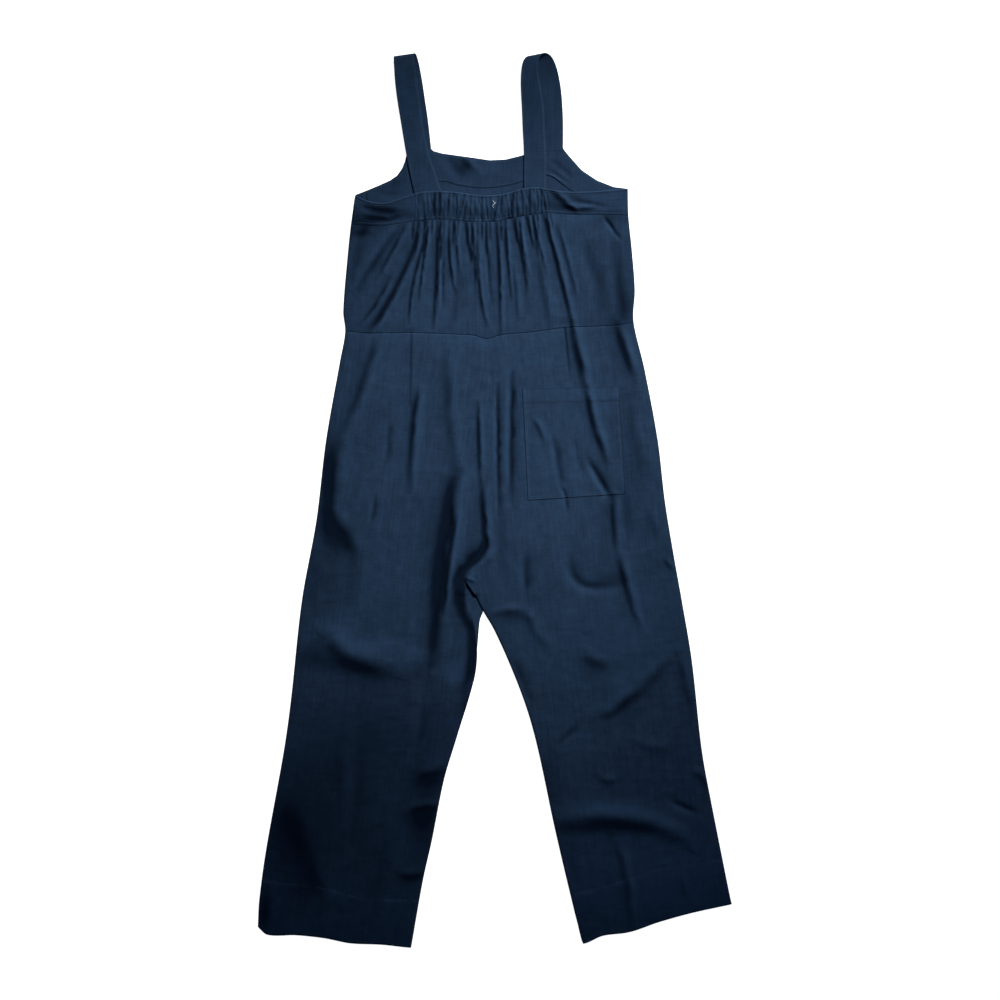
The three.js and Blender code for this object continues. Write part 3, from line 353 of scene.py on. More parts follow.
# Broad soft patches of painted shade and painted light on the cloth: middle X, Y, half width,
# half height, and the amount, painted shade below zero and painted light above
BROAD_PAINTED_SHADING = [
    (-186, 400, 32, 13, -0.8), (-178, 422, 30, 10, -0.2), (98, 434, 26, 10, -0.4),
    (170, 410, 26, 8, -0.6), (178, 268, 15, 36, -0.5), (-241, 30, 11, 64, -1), (-247, -26, 14, 34, -0.5),
    (-216, -54, 24, 28, -0.8), (200, 0, 18, 76, -0.25), (-35, -214, 9, 52, -1.1),
    (-294, -478, 44, 86, -0.65), (-212, -440, 118, 175, -0.62), (100, 30, 70, 90, 0.2),
    (-90, 392, 50, 12, 0.25), (-160, -330, 90, 70, -0.35), (-80, -330, 34, 90, -0.35),
    (-108, -450, 24, 60, -0.4), (150, 300, 60, 70, -0.2), (-268, -552, 18, 34, -0.15),
    (236, -535, 110, 70, 0.65), (-178, 411, 34, 11, -0.55), (-196, 388, 17, 6, -0.7),
    (-148, -250, 50, 14, -0.3), (-65, -28, 7, 44, -1), (-82, -120, 8, 44, -1.1), (-30, -84, 14, 12, -0.8),
    (-48, -114, 9, 16, -1.2), (170, -112, 26, 9, -0.3), (-92, -215, 9, 30, -0.5),
    (-49, -126, 5, 26, -0.5), (-238, -90, 14, 90, -0.3), (-14, -14, 5, 42, -0.6),
    (205, -190, 70, 60, 0.35), (120, -570, 20, 40, 0.3), (-262, -110, 14, 60, -0.5),
    (-266, -224, 26, 18, -0.6), (-44, -300, 10, 40, -0.6), (78, -400, 22, 60, -0.35),
    (-98, -475, 22, 40, -0.35), (-36, -60, 10, 60, -0.2), (186, 150, 30, 120, -0.12),
    (120, -330, 60, 60, 0.12), (-334, -596, 9, 30, -0.5), (-92, -405, 22, 15, -0.6),
    (-102, -462, 24, 12, -0.25), (-122, -545, 24, 11, -0.4), (20, -170, 22, 9, -0.4),
    (146, -234, 24, 13, -0.4), (182, -261, 18, 13, 0.5), (110, -156, 13, 20, 0.35),
    (-222, -186, 26, 12, 0.6), (-170, -207, 34, 12, 0.8), (-118, -221, 24, 10, 0.5),
    (-50, -130, 9, 22, -1.2), (-14, -66, 6, 9, -0.7), (-206, -238, 40, 12, -0.5),
    (165, -443, 84, 13, 0.4), (160, -476, 84, 9, -0.5), (-61, -250, 12, 14, 0.6), (198, -74, 13, 18, 0.3),
    (190, -520, 7, 28, 0.3), (58, 570, 40, 90, -0.4), (82, 628, 14, 14, -0.4), (-43, 485, 11, 9, -0.6),
    (-8, 483, 24, 9, 0.25), (-142, 461, 11, 9, -0.45), (-150, 421, 26, 7, -0.45), (-72, 430, 14, 9, -0.3),
    (-78, -140, 12, 90, -0.3), (-134, -495, 12, 10, 0.2), (-116, -430, 9, 8, 0.2),
    (-310, -320, 12, 60, 0.2), (-110, 250, 90, 30, 0.1), (258, -466, 18, 10, 0.4),
]

# Puckers of the elastic casing: X at its top edge and at its seam, half width, depth
PUCKERS = [
    (-117, -116, 1.3, 0.7), (-111, -112, 1.6, 1), (-105, -102.5, 2, 1.6), (-98, -98.5, 1.4, 1),
    (-93, -92, 1.5, 1.1), (-87, -88, 2.6, 2.2), (-79, -81.5, 2.2, 2.4), (-73, -74.5, 1.5, 1.1),
    (-67, -69, 1.6, 1.4), (-60, -62, 1.4, 0.9), (-54, -58, 1.6, 1.2), (-44, -53.5, 1.8, 1.6),
    (-38, -46, 1.6, 1.4), (-33.5, -38, 1.4, 1.2), (-29, -31, 1.6, 1.3), (-25, -25.5, 1.3, 0.9),
    (-19, -19.5, 2, 1.7), (-13, -11.5, 1.5, 1.2), (-8, -6, 1.5, 1.3), (5, -1.5, 2, 1.9),
    (10, 9, 1.8, 1.8), (15, 20.5, 1.7, 1.7), (21, 26, 1.5, 1.4), (26.5, 24.5, 1.8, 1.9),
    (32, 32, 1.5, 1.4), (38.5, 40.5, 1.9, 1.9), (44, 46, 1.4, 1.1), (49.5, 51, 1.8, 1.6),
    (56, 57, 1.4, 1.2), (61, 61.5, 1.5, 1.3), (66, 68.5, 1.9, 1.9), (71, 73, 1.6, 1.6),
    (76, 78, 1.3, 0.9),
]

# Short gathers that start at the casing: X there, how far down they run, width, depth
GATHERS = [
    (-116, 26, 2.4, 0.7), (-110, 44, 2.6, 1), (-100, 30, 2.2, 0.8), (-96, 52, 2.6, 1.1),
    (-90, 22, 2, 0.8), (-78, 34, 2.4, 1), (-73, 58, 2.4, 1.1), (-59, 40, 2.4, 1), (-53, 24, 2, 0.9),
    (-39, 34, 2.2, 0.8), (-33, 62, 2.6, 1.2), (-19, 28, 2, 0.9), (-13, 48, 2.4, 1), (-7, 26, 2, 0.8),
    (8, 30, 2.2, 0.9), (15, 54, 2.4, 1.1), (29, 36, 2.2, 1), (35, 48, 2.4, 1.1), (48, 26, 2, 0.8),
    (54, 60, 2.6, 1.1), (60, 32, 2, 0.9), (74, 42, 2.4, 0.9), (80, 24, 2, 0.6),
]


def neck_edge(x):
    """Top edge of the front bodice."""
    return np.interp(x, *np.array(NECK_AND_ARMHOLES, dtype=float).T)


def soft_noise(x, y, size, seed):
    """Smooth uneven values from -1 to 1, about SIZE apart."""
    lattice = np.random.default_rng(seed).uniform(-1, 1, (128, 128))
    u = x / size
    v = y / size
    i = np.floor(u).astype(int)
    j = np.floor(v).astype(int)
    s = smooth(u - i, 0, 1)
    t = smooth(v - j, 0, 1)
    low = lerp(lattice[i % 128, j % 128], lattice[(i + 1) % 128, j % 128], s)
    high = lerp(lattice[i % 128, (j + 1) % 128], lattice[(i + 1) % 128, (j + 1) % 128], s)
    return lerp(low, high, t)


def crumple(x, y, seed):
    """Small wrinkles of worn linen: soft dents, and a few sharper creases between them."""
    slow = soft_noise(x, y, 34, seed) + 0.5 * soft_noise(x, y, 15, seed + 1)
    fine = soft_noise(x, y, 6.5, seed + 2)
    crease = 1 - np.abs(soft_noise(x + 0.3 * y, y - 0.2 * x, 46, seed + 3))
    upright = 0.12 * soft_noise(x, y / 8, 5, seed + 4) * smooth(y, -200, 60)
    level = 0.2 * soft_noise(x / 2.6, y, 6.5, seed + 5) * smooth(-y, 60, 280)
    return 0.3 * slow + 0.1 * fine + 0.35 * crease ** 9 + upright + level


def fold_relief(rows, x, y):
    """Height of a table of folds at places X, Y, and their painted shade and painted highlight."""
    height = np.zeros_like(x)
    painted_shading = np.zeros_like(x)
    for x0, y0, x1, y1, x2, y2, wide, deep, pale in rows:
        reach = 3.4 * wide
        near = ((x > min(x0, x1, x2) - reach) & (x < max(x0, x1, x2) + reach)
                & (y > min(y0, y1, y2) - reach) & (y < max(y0, y1, y2) + reach))
        if not near.any():
            continue
        px = x[near]
        py = y[near]
        t = np.linspace(0, 1, 9)
        bend_x = 2 * x1 - (x0 + x2) / 2
        bend_y = 2 * y1 - (y0 + y2) / 2
        line_x = (1 - t) ** 2 * x0 + 2 * t * (1 - t) * bend_x + t ** 2 * x2
        line_y = (1 - t) ** 2 * y0 + 2 * t * (1 - t) * bend_y + t ** 2 * y2
        nearest = np.full_like(px, 1e9)
        side = np.zeros_like(px)
        along = np.zeros_like(px)
        for step in range(8):
            ax, ay = line_x[step], line_y[step]
            dx, dy = line_x[step + 1] - ax, line_y[step + 1] - ay
            share = np.clip(((px - ax) * dx + (py - ay) * dy) / (dx * dx + dy * dy), 0, 1)
            away_x = px - ax - share * dx
            away_y = py - ay - share * dy
            distance = np.hypot(away_x, away_y)
            closer = distance < nearest
            nearest = np.where(closer, distance, nearest)
            side = np.where(closer, np.sign(away_x * dy - away_y * dx), side)
            along = np.where(closer, (step + share) / 8, along)
        wander = soft_noise(px, py, 3.2 * wide, 77)
        fade = np.sqrt(np.sin(np.pi * np.clip(along, 0.02, 0.98)))
        fade *= 1 + 0.25 * wander
        across = side * nearest / wide + 0.25 * wander
        # A swelling lies between the dark line and the pale line where the light comes from
        # the pale side, and a hollow where it comes from the dark side
        length = math.hypot(x2 - x0, y2 - y0)
        facing = pale * (LIGHT_SIDE[0] * (y2 - y0) - LIGHT_SIDE[1] * (x2 - x0)) / length
        swell = facing * bump(across - 0.85 * pale, 1.0)
        hollow = (1 - abs(facing)) * (0.5 * bump(across - 1.6 * pale, 1.0) - bump(across, 1.0))
        height[near] += fade * deep * (swell + hollow)
        # Painted shade on the dark line of each fold, a softer painted shadow beside it, and a painted
        # highlight on its pale line
        strength = min(2.2 * deep / wide, 1.25)
        shadow = bump(across, 0.9) + 0.35 * min(wide / 9, 1) * bump(across + 1.3 * pale, 1.5)
        painted_shading[near] += fade * strength * (0.4 * bump(across - 1.7 * pale, 1.0) - shadow)
    return height, painted_shading


def fold_height(rows, x, y):
    """Height alone of a table of folds."""
    return fold_relief(rows, x, y)[0]


def gather_rows():
    """The short gathers as fold rows, fanning out below the casing."""
    rows = []
    for x, down, wide, deep in GATHERS:
        top = float(casing_low(x))
        lean = (x + 20) / 155 * 0.28
        rows.append((x, top + 12, x + lean * down * 0.5, top - down * 0.45,
                     x + lean * down, top - down, wide, 1.7 * deep, -1))
    return rows


BACK_FOLDS = BODICE_FOLDS + SEAT_FOLDS + LEG_FOLDS + gather_rows()


def painted_shading_of(rows, x, y):
    """Painted shading of the cloth: painted shade in its folds and painted highlight beside them, over
    its broad painted shade and light.
    """
    painted_shading = fold_relief(rows, x, y)[1]
    # Broad patches of painted shade and painted light
    for middle_x, middle_y, wide, high, amount in BROAD_PAINTED_SHADING:
        uneven = 1 + 0.25 * soft_noise(x, y, 0.8 * min(wide, high), 91)
        away = ((x - middle_x) / wide) ** 2 + ((y - middle_y) / high) ** 2
        painted_shading += amount * np.exp(-away * uneven)
    return np.clip(painted_shading, -1.2, 1)


def fold_depth():
    """Depth of the folds, as the panel has it."""
    return bpy.context.scene.jumpsuit.fold_depth


def hem_stitch(x):
    """Height of the stitching of the hems."""
    return np.where(x < 0, hem_stitch_left(x), hem_stitch_right(x))


def casing_size(x):
    """Width of the casing, from its top edge to its seam."""
    return casing_top(x) - casing_low(x)


def gathered(x):
    """1 where the casing is gathered, and 0 at its plain ends."""
    return smooth(x, *GATHERS_BEGIN) * (1 - smooth(x, *GATHERS_END))


def pocket_sides(down):
    """X of the left and the right side of the pocket."""
    return [lerp(top[0], bottom[0], down) for top, bottom in zip(POCKET_TOP, POCKET_BOTTOM)]


def pocket_ends(across):
    """Y of the top and the bottom edge of the pocket."""
    return [lerp(left[1], right[1], across) for left, right in (POCKET_TOP, POCKET_BOTTOM)]


def side_distance(x, y):
    """How far a place lies inside the nearer side seam."""
    return np.minimum(x - left_side(y), right_side(y) - x)


def back_inner(side, y):
    """Inner edge of a back leg: the back seam, and the inner leg seam below the crotch."""
    below = inner_back_left(y) if side < 0 else inner_back_right(y)
    return np.where(y > CROTCH, back_seam(y), below)


def front_inner(side, y):
    """Inner edge of a front leg. A sliver of the left one shows at the crotch."""
    if side < 0:
        below = np.where(y > FRONT_SLIVER, inner_front_left(y), inner_back_left(y))
    else:
        below = inner_back_right(y) + FRONT_INSET
    return np.where(y > FRONT_CROTCH, front_seam(y), below)


def rolled(distance, reach):
    """Rounded rise beside an edge, from 0 on it to 1."""
    t = 1 - np.clip(distance / reach, 0, 1)
    return np.sqrt(1 - t * t)


def dart_relief(x, y):
    """Waist darts: the height of each groove with the fold under it, and the painted shade along its
    groove.
    """
    height = np.zeros_like(x)
    painted_shading = np.zeros_like(x)
    for top_x, top_y, low_x, low_y in DARTS:
        share = np.clip((top_y - y) / (top_y - low_y), 0, 1)
        away = x - lerp(top_x, low_x, share)
        on_dart = smooth(y, low_y - 4, low_y + 10) * smooth(y, top_y + 2, top_y)
        ridge = 0.35 * lerp(1.0, 0.35, share) * bump(away - 4, 4)
        height += on_dart * (ridge - 0.5 * bump(away, 1.4))
        # Painted shade down the groove of each dart
        painted_shading -= on_dart * lerp(1, 0.6, share) * bump(away, 1.5)
    return height, painted_shading


def back_height(x, y):
    """Top of the back bodice and back legs above the floor."""
    below_waist = waist(x) - y
    on_leg = below_waist > 0
    on_right = x > back_seam(np.maximum(y, CROTCH))
    inside = np.abs(x - np.where(on_right, back_inner(1, y), back_inner(-1, y)))
    is_open = smooth(y, CROTCH, CROTCH - 22)
    sewn = on_leg * (1 - is_open)
    aside = side_distance(x, y)
    aside = np.where(on_leg, np.minimum(aside, lerp(1000, inside, is_open)), aside)
    rise = rolled(aside, PUFF_REACH)
    past_hem = hem_stitch(x) - y
    hem_edge = np.where(x < 0, hem_left(x), hem_right(x))
    dips = 1.1 * bump(below_waist, 9) + 0.8 * bump(inside, 9) * sewn
    dips += 1.6 * bump(casing_low(x) - y, 6) + 0.9 * bump(y - hem_edge, 45)
    relief = fold_height(BACK_FOLDS, x, y) + crumple(x, y, 5)
    height = rise * (PUFF - dips) + fold_depth() * (0.25 + 0.75 * rise) * relief
    height = (height + np.sqrt((height + 1) ** 2 + 0.4) - 1) / 2
    height += 0.45 * (smooth(past_hem, -0.6, 0.8) - bump(past_hem, 1.6))
    # Grooves of the seams, with the small ripples that stitching leaves beside them
    ripple = soft_noise(x, y, 7, 12)
    height -= (0.3 + 0.1 * ripple) * bump(below_waist, 1.3) + 0.3 * bump(inside, 1.7) * sewn
    height += 0.3 * ripple * (bump(below_waist, 9) + bump(past_hem, 10))
    height += 0.25 * ripple * bump(inside, 8) * sewn + dart_relief(x, y)[0]
    return lerp(1.0, BACK_RIM + height, rolled(aside, 3.0))


def pucker_height(x, down):
    """Puckers of the elastic casing, from 0 down to about -1."""
    puckers = np.zeros_like(x)
    for number, (top, low, wide, deep) in enumerate(PUCKERS):
        bend = 0.8 * np.sin(5 * down + 1.7 * number)
        away = (x - lerp(top, low, down) - bend) / wide
        strength = 0.55 + 0.45 * np.sin(2.2 * down + 1.3 * number) ** 2
        puckers -= 0.5 * deep * strength * np.exp(-np.abs(away) ** 1.6)
    return puckers


def casing_height(x, down):
    """Top of the elastic casing above the floor."""
    over_straps = smooth(x, -194, -119) * (1 - smooth(x, 76, 176)) * (1 - smooth(down, 0.5, 0.95))
    upper = lerp(FACING_TOP + 0.5, STRAP_TOP + 0.3, over_straps)
    under = lerp(upper, BACK_LOW + 0.5, smooth(down, 0.6, 1))
    width = side_distance(x, CASING_MIDDLE)
    under = lerp(BACK_LOW, under, smooth(width, 0, 11))
    middle = np.sin(np.pi * np.clip(down, 0.04, 0.96))
    y = lerp(casing_top(x), casing_low(x), down)
    ruffle = gathered(x)
    swell = 1.3 + 0.5 * soft_noise(x, y / 4, 5, 32) + 0.7 * soft_noise(x, y / 3.5, 3.2, 31)
    relief = ruffle * swell + 2.8 * pucker_height(x, down) + fold_height(CASING_FOLDS, x, y)
    soft = 0.6 * crumple(x, y, 41) * (1 - 0.6 * ruffle)
    height = 0.5 * middle + fold_depth() * ((0.4 + 0.6 * middle) * relief + soft)
    # Edge roll and the two lines of stitching
    from_top = down * casing_size(x)
    from_low = (1 - down) * casing_size(x)
    height += 0.35 * bump(from_top - 1.3, 1.3) - 0.55 * bump(from_top - CASING_STITCH_TOP, 1.2)
    height -= 0.45 * bump(from_low - CASING_STITCH_LOW, 1.1) + 0.8 * bump(from_low, 1.6)
    height -= 0.7 * (1 - rolled(from_top, 1.1))
    return lerp(1.0, under + 1.2 + np.maximum(height, -0.8), rolled(width, 3.0))


def pocket_height(x, y, down):
    """Top of the patch pocket, over the cloth that it is sewn to."""
    left, right = pocket_sides(down)
    from_top = down * POCKET_DEPTH
    inside = np.minimum(np.minimum(x - left, right - x), POCKET_DEPTH - from_top)
    from_stitch = inside - POCKET_STITCH
    ripple = soft_noise(x, y, 6, 22)
    lift = 0.85 + 0.4 * smooth(inside, 2, 22) + 0.5 * bump(from_top, 14) * smooth(inside, 2, 30)
    lift += fold_depth() * fold_height(POCKET_FOLDS, x, y) + 0.3 * crumple(x, y, 51)
    lift += 0.4 * (smooth(POCKET_HEM - from_top, -0.5, 0.6) - bump(from_top - POCKET_HEM, 1.3))
    lift += 0.2 * ripple * bump(from_stitch, 6) - 0.35 * bump(from_stitch, 1.0)
    edge = rolled(np.minimum(inside, from_top + 0.2), 1.0)
    return back_height(x, y) + lerp(0.05, np.maximum(lift, 0.35), edge)


class Shade:
    """A shader value that is added, subtracted and multiplied like a number."""

    def __init__(self, finish, socket):
        self.finish = finish
        self.socket = socket

    def maths(self, operation, other=0.0):
        """A maths node that works on this value."""
        return self.finish.node("ShaderNodeMath", {"operation": operation}, {0: self, 1: other})

    def __add__(self, other):
        return self.maths("ADD", other)

    def __sub__(self, other):
        return self.maths("SUBTRACT", other)

    def __mul__(self, other):
        return self.maths("MULTIPLY", other)

    def wave(self):
        return self.maths("SINE")


class Finish:
    """A material and the nodes that make it."""

    def __init__(self, name):
        self.material = bpy.data.materials.new(name)
        self.material.use_nodes = True
        self.tree = self.material.node_tree
        self.surface = self.tree.nodes["Principled BSDF"]

    def node(self, kind, settings, sockets, output=0):
        """Add one node: its settings first, then the values or links of its sockets."""
        node = self.tree.nodes.new(kind)
        for name, value in settings.items():
            setattr(node, name, value)
        for name, value in sockets.items():
            self.put(node.inputs[name], value)
        return Shade(self, node.outputs[output])

    def put(self, socket, value):
        """Link a shader value to a socket, or set the socket to a constant."""
        if isinstance(value, Shade):
            self.tree.links.new(value.socket, socket)
        else:
            socket.default_value = value

    def noise(self, across, along, across_scale, along_scale, detail=2.0):
        """Uneven value from 0 to 1 at its own scale along each direction of the cloth."""
        place = self.node("ShaderNodeCombineXYZ", {},
                          {0: across * across_scale, 1: along * along_scale})
        return self.node("ShaderNodeTexNoise", {}, {"Vector": place, "Scale": 1.0, "Detail": detail,
                                                    "Roughness": 0.55}, "Fac")

    def mix(self, share, first, second):
        """A colour between two colours."""
        return self.node("ShaderNodeMix", {"data_type": "RGBA"}, {0: share, 6: first, 7: second}, 2)

    def finish(self, **sockets):
        """Set the sockets of the surface, and return the material."""
        for name, value in sockets.items():
            self.put(self.surface.inputs[name.replace("_", " ")], value)
        return self.material


def shaded(colour, factor):
    """A colour made lighter or darker, with its alpha."""
    return (*(min(part * factor, 1.0) for part in colour), 1.0)


def linen(name, colour, contrast):
    """Plain-woven linen: two crossing sets of slubbed threads, with painted shade in its folds and
    painted highlight beside them.
    """
    finish = Finish(name)
    place = finish.node("ShaderNodeUVMap", {"uv_map": "Grain"}, {})
    across = finish.node("ShaderNodeSeparateXYZ", {}, {0: place}, 0)
    along = finish.node("ShaderNodeSeparateXYZ", {}, {0: place}, 1)
    # Painted shade and painted highlight carried by each corner of the cloth
    painted_shading = finish.node("ShaderNodeAttribute", {"attribute_name": "painted_shading"}, {}, "Fac")
    warp = finish.noise(across, along, 1500, 55)
    weft = finish.noise(across, along, 55, 1500)
    slub_up = finish.noise(across, along, 560, 38, 3.0)
    slub_across = finish.noise(across, along, 38, 560, 3.0)
    fade = finish.noise(across, along, 14, 11, 3.0)
    threads = (across * WEAVE_WAVES).wave() * (along * WEAVE_WAVES).wave()
    streak = finish.noise(across, along, 240, 8)
    blotch = finish.noise(across, along, 70, 50, 4.0)
    uneven = (warp + weft) * 0.5 + (slub_up + slub_across + streak) * 0.6 + fade * 0.6 + blotch * 0.9
    light = (uneven - 2.15) * contrast * 0.85 + 0.5 + threads * 0.05
    woven = finish.mix(light, shaded(colour, 0.6), shaded(colour, 1.4))
    # Painted shade: a darker, bluer copy of the cloth colour mixed in where the corners carry painted
    # shade; painted highlight: a paler copy mixed in where they carry painted light
    deep = (*(part * share for part, share in zip(colour, (0.02, 0.12, 0.19))), 1)
    colours = finish.mix(painted_shading * -0.8, woven, deep)
    colours = finish.mix(painted_shading * 0.55, colours, shaded(colour, 2.0))
    heights = threads * 0.3 + warp + weft + (slub_up + slub_across) * 0.8
    normal = finish.node("ShaderNodeBump", {}, {"Strength": 0.5, "Distance": 0.0003,
                                                "Height": heights})
    return finish.finish(Base_Color=colours, Roughness=fade * 0.12 + 0.8, Normal=normal,
                         Specular_IOR_Level=0.08, Sheen_Weight=0.03, Sheen_Roughness=0.4)


def twisted_thread(name, colour):
    """Sewing thread: fine turns of twist along each stitch."""
    finish = Finish(name)
    place = finish.node("ShaderNodeTexCoord", {}, {}, "Object")
    grain = finish.node("ShaderNodeTexNoise", {}, {"Vector": place, "Scale": 2600.0, "Detail": 2.0},
                        "Fac")
    colours = finish.mix(grain, shaded(colour, 0.75), shaded(colour, 1.25))
    normal = finish.node("ShaderNodeBump", {}, {"Strength": 0.4, "Distance": 0.0002,
                                                "Height": grain})
    return finish.finish(Base_Color=colours, Roughness=0.6, Normal=normal)


def floor_paper(name):
    """Plain white floor that stays white to its far edges."""
    finish = Finish(name)
    place = finish.node("ShaderNodeTexCoord", {}, {}, "Object")
    grain = finish.node("ShaderNodeTexNoise", {}, {"Vector": place, "Scale": 8.0}, "Fac")
    colour = finish.mix(grain, (0.88, 0.88, 0.88, 1), (0.9, 0.9, 0.9, 1))
    return finish.finish(Base_Color=colour, Roughness=0.9, Emission_Color=(1, 1, 1, 1),
                         Emission_Strength=1.0)


def material_of(name, make, *values):
    """The material of that name, made the first time it is asked for."""
    return bpy.data.materials.get(name) or make(name, *values)


def navy_linen():
    """The right side of the cloth, which all outer panels show."""
    return material_of("Navy linen", linen, bpy.context.scene.jumpsuit.cloth_colour, 1.1)


def mesh_of(bm, name):
    """Turn finished mesh editing into a mesh of that name."""
    mesh = bpy.data.meshes.new(name)
    bm.to_mesh(mesh)
    bm.free()
    return mesh


def corners_of(mesh):
    """The places of all corners of a mesh, one row each."""
    flat = np.empty(len(mesh.vertices) * 3)
    mesh.vertices.foreach_get("co", flat)
    return flat.reshape(-1, 3)


def add_object(name, data):
    """Put an object of that name in the scene."""
    item = bpy.data.objects.new(name, data)
    bpy.context.scene.collection.objects.link(item)
    return item


def add_piece(name, mesh, material, nodes):
    """Put a finished mesh in the scene as a piece of the garment."""
    mesh.materials.append(material)
    mesh.shade_smooth()
    piece = add_object(name, mesh)
    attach(piece, "root")
    if nodes:
        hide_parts(*nodes)
    return piece


def near_edges(share, width, cells):
    """Distance across a panel with its grid drawn close to both edges."""
    first = np.array([0, 0.4, 1.0, 1.8, 2.8, 4.2])
    count = len(first) - 1
    index = share * cells
    even = lerp(first[-1], width - first[-1], (index - count) / (cells - 2 * count))
    from_low = np.interp(index, np.arange(count + 1), first)
    from_high = width - np.interp(cells - index, np.arange(count + 1), first)
    return np.where(index <= count, from_low, np.where(cells - index <= count, from_high, even))


def cloth_sheet(name, place, node, thickness, material, grain=0.0, offset=-1.0):
    """One panel: a grid of cloth moved to its place and given its thickness.

    PLACE turns shares across and down the grid into X, Y, Z and the painted shading of each corner.
    GRAIN is the turn of the threads from the Y axis, in radians.
    """
    bm = bmesh.new()
    bm.loops.layers.uv.new("Grain")
    across, down = GRIDS[name]
    bmesh.ops.create_grid(bm, x_segments=across, y_segments=down, size=1.0, calc_uvs=True)
    mesh = mesh_of(bm, name)
    share = (corners_of(mesh) + 1) / 2
    x, y, z, painted_shading = place(share[:, 0], 1 - share[:, 1])
    mesh.vertices.foreach_set("co", (np.column_stack((x, y, z)) * MM).ravel())
    corners = np.empty(len(mesh.loops), dtype=int)
    mesh.loops.foreach_get("vertex_index", corners)
    threads = np.column_stack((x * np.cos(grain) + y * np.sin(grain),
                                  y * np.cos(grain) - x * np.sin(grain))) * MM
    mesh.uv_layers["Grain"].data.foreach_set("uv", threads[corners].ravel())
    # Painted shade and painted highlight of each corner, which the cloth's material turns into colour
    mesh.attributes.new("painted_shading", "FLOAT", "POINT").data.foreach_set("value", painted_shading)
    piece = add_piece(name, mesh, material, [node])
    wall = piece.modifiers.new("Cloth thickness", "SOLIDIFY")
    wall.thickness = thickness
    wall.offset = offset
    wall.use_even_offset = True
    return piece


def body_x(name, across, down, top, low, inset=0.0):
    """X across the body, from the heights TOP to LOW of its two side seams."""
    left = left_side(lerp(top[0], low[0], down)) + inset
    width = right_side(lerp(top[1], low[1], down)) - inset - left
    return left + near_edges(across, width, GRIDS[name][0])


def front_bodice_place(across, down):
    """Places of the front bodice, whose inside shows between the straps."""
    x = body_x("bodice_front", across, down, UNDERARM, WAIST_SEAM, FRONT_INSET)
    low = lerp(*WAIST_SEAM, (x - WAIST_START) / WAIST_LENGTH)
    y = lerp(neck_edge(x), low, down)
    rim = rolled(neck_edge(x) - y, 1.4)
    soft = fold_depth() * 0.3 * np.abs(crumple(x, y, 61)) * rim
    return x, y, lerp(0.93, FRONT_TOP + soft, rim), painted_shading_of([], x, y)


def facing_place(across, down):
    """Places of the facing of the neck and armholes."""
    x = lerp(*FACING_ENDS, across)
    top = neck_edge(x) - 2.2
    low = facing_edge(x)
    y = lerp(top, low, down)
    soft = fold_height(INSIDE_FOLDS, x, y) + 0.5 * crumple(x, y, 71)
    rim = rolled(np.minimum(top - y, y - low) + 0.1, 1.2)
    z = FACING_TOP - 0.65 + np.maximum(fold_depth() * soft, -0.3)
    # Painted light along the facing's lower edge, where its own shade falls, over the painted shading of
    # its folds
    return x, y, lerp(1.2, z, rim), painted_shading_of(INSIDE_FOLDS, x, y) + 0.7 * bump(y - low, 1.4)


def back_bodice_place(across, down):
    """Places of the back bodice."""
    x = body_x("bodice_back", across, down, CASING_SEAM, WAIST_SEAM)
    y = lerp(casing_low(x), waist(x), down)
    return x, y, back_height(x, y), painted_shading_of(BACK_FOLDS, x, y)


def casing_place(across, down):
    """Places of the elastic casing, and its painted shading."""
    x = body_x("casing_back", across, down, UNDERARM, CASING_SEAM)
    y = lerp(casing_top(x), casing_low(x), down)
    from_top = down * casing_size(x)
    # Painted highlight over the ruffles of the gathered part, painted shade and highlight in small beads
    # along the low seam, painted shade in the pucker hollows, a painted highlight along the top edge and
    # painted shade in the groove of the top stitching
    low_seam = bump((1 - down) * casing_size(x) - 3.0, 2.4)
    beads = low_seam * (0.9 * soft_noise(x, y / 9, 3.4, 34) - 0.35)
    ruffled = 0.35 + 0.5 * soft_noise(x + 0.35 * y, y / 5, 2.4, 33) + beads
    painted_shading = painted_shading_of(CASING_FOLDS, x, y) + gathered(x) * ruffled + 1.5 * pucker_height(x, down)
    painted_shading += 0.9 * bump(from_top - 0.6, 1.5) - 0.5 * bump(from_top - CASING_STITCH_TOP, 1.4)
    return x, y, casing_height(x, down), painted_shading


def pocket_place(across, down):
    """Places of the patch pocket."""
    cells = GRIDS["pocket_back"]
    left, right = pocket_sides(down)
    x = left + near_edges(across, right - left, cells[0])
    from_top = near_edges(down, POCKET_DEPTH, cells[1])
    inset = from_top / POCKET_DEPTH
    y = lerp(*pocket_ends(across), inset)
    inside = np.minimum(np.minimum(x - left, right - x), POCKET_DEPTH - from_top)
    # Painted shade along the pocket's turned edges and hem line, and painted highlight just inside its
    # stitching and below its top edge
    lines = bump(np.minimum(inside, from_top) - 0.6, 1.2) + 0.6 * bump(from_top - POCKET_HEM, 1.2)
    pale = bump(inside - 4.0, 1.6) + 0.5 * bump(from_top - 9, 9)
    painted_shading = painted_shading_of(POCKET_FOLDS + SEAT_FOLDS, x, y) - 0.5 * lines + 0.35 * pale
    return x, y, pocket_height(x, y, inset), painted_shading


def front_leg_cloth(x, y):
    """Height and tone of the front legs, which lie flat."""
    return np.full_like(x, FRONT_TOP), np.zeros_like(x)


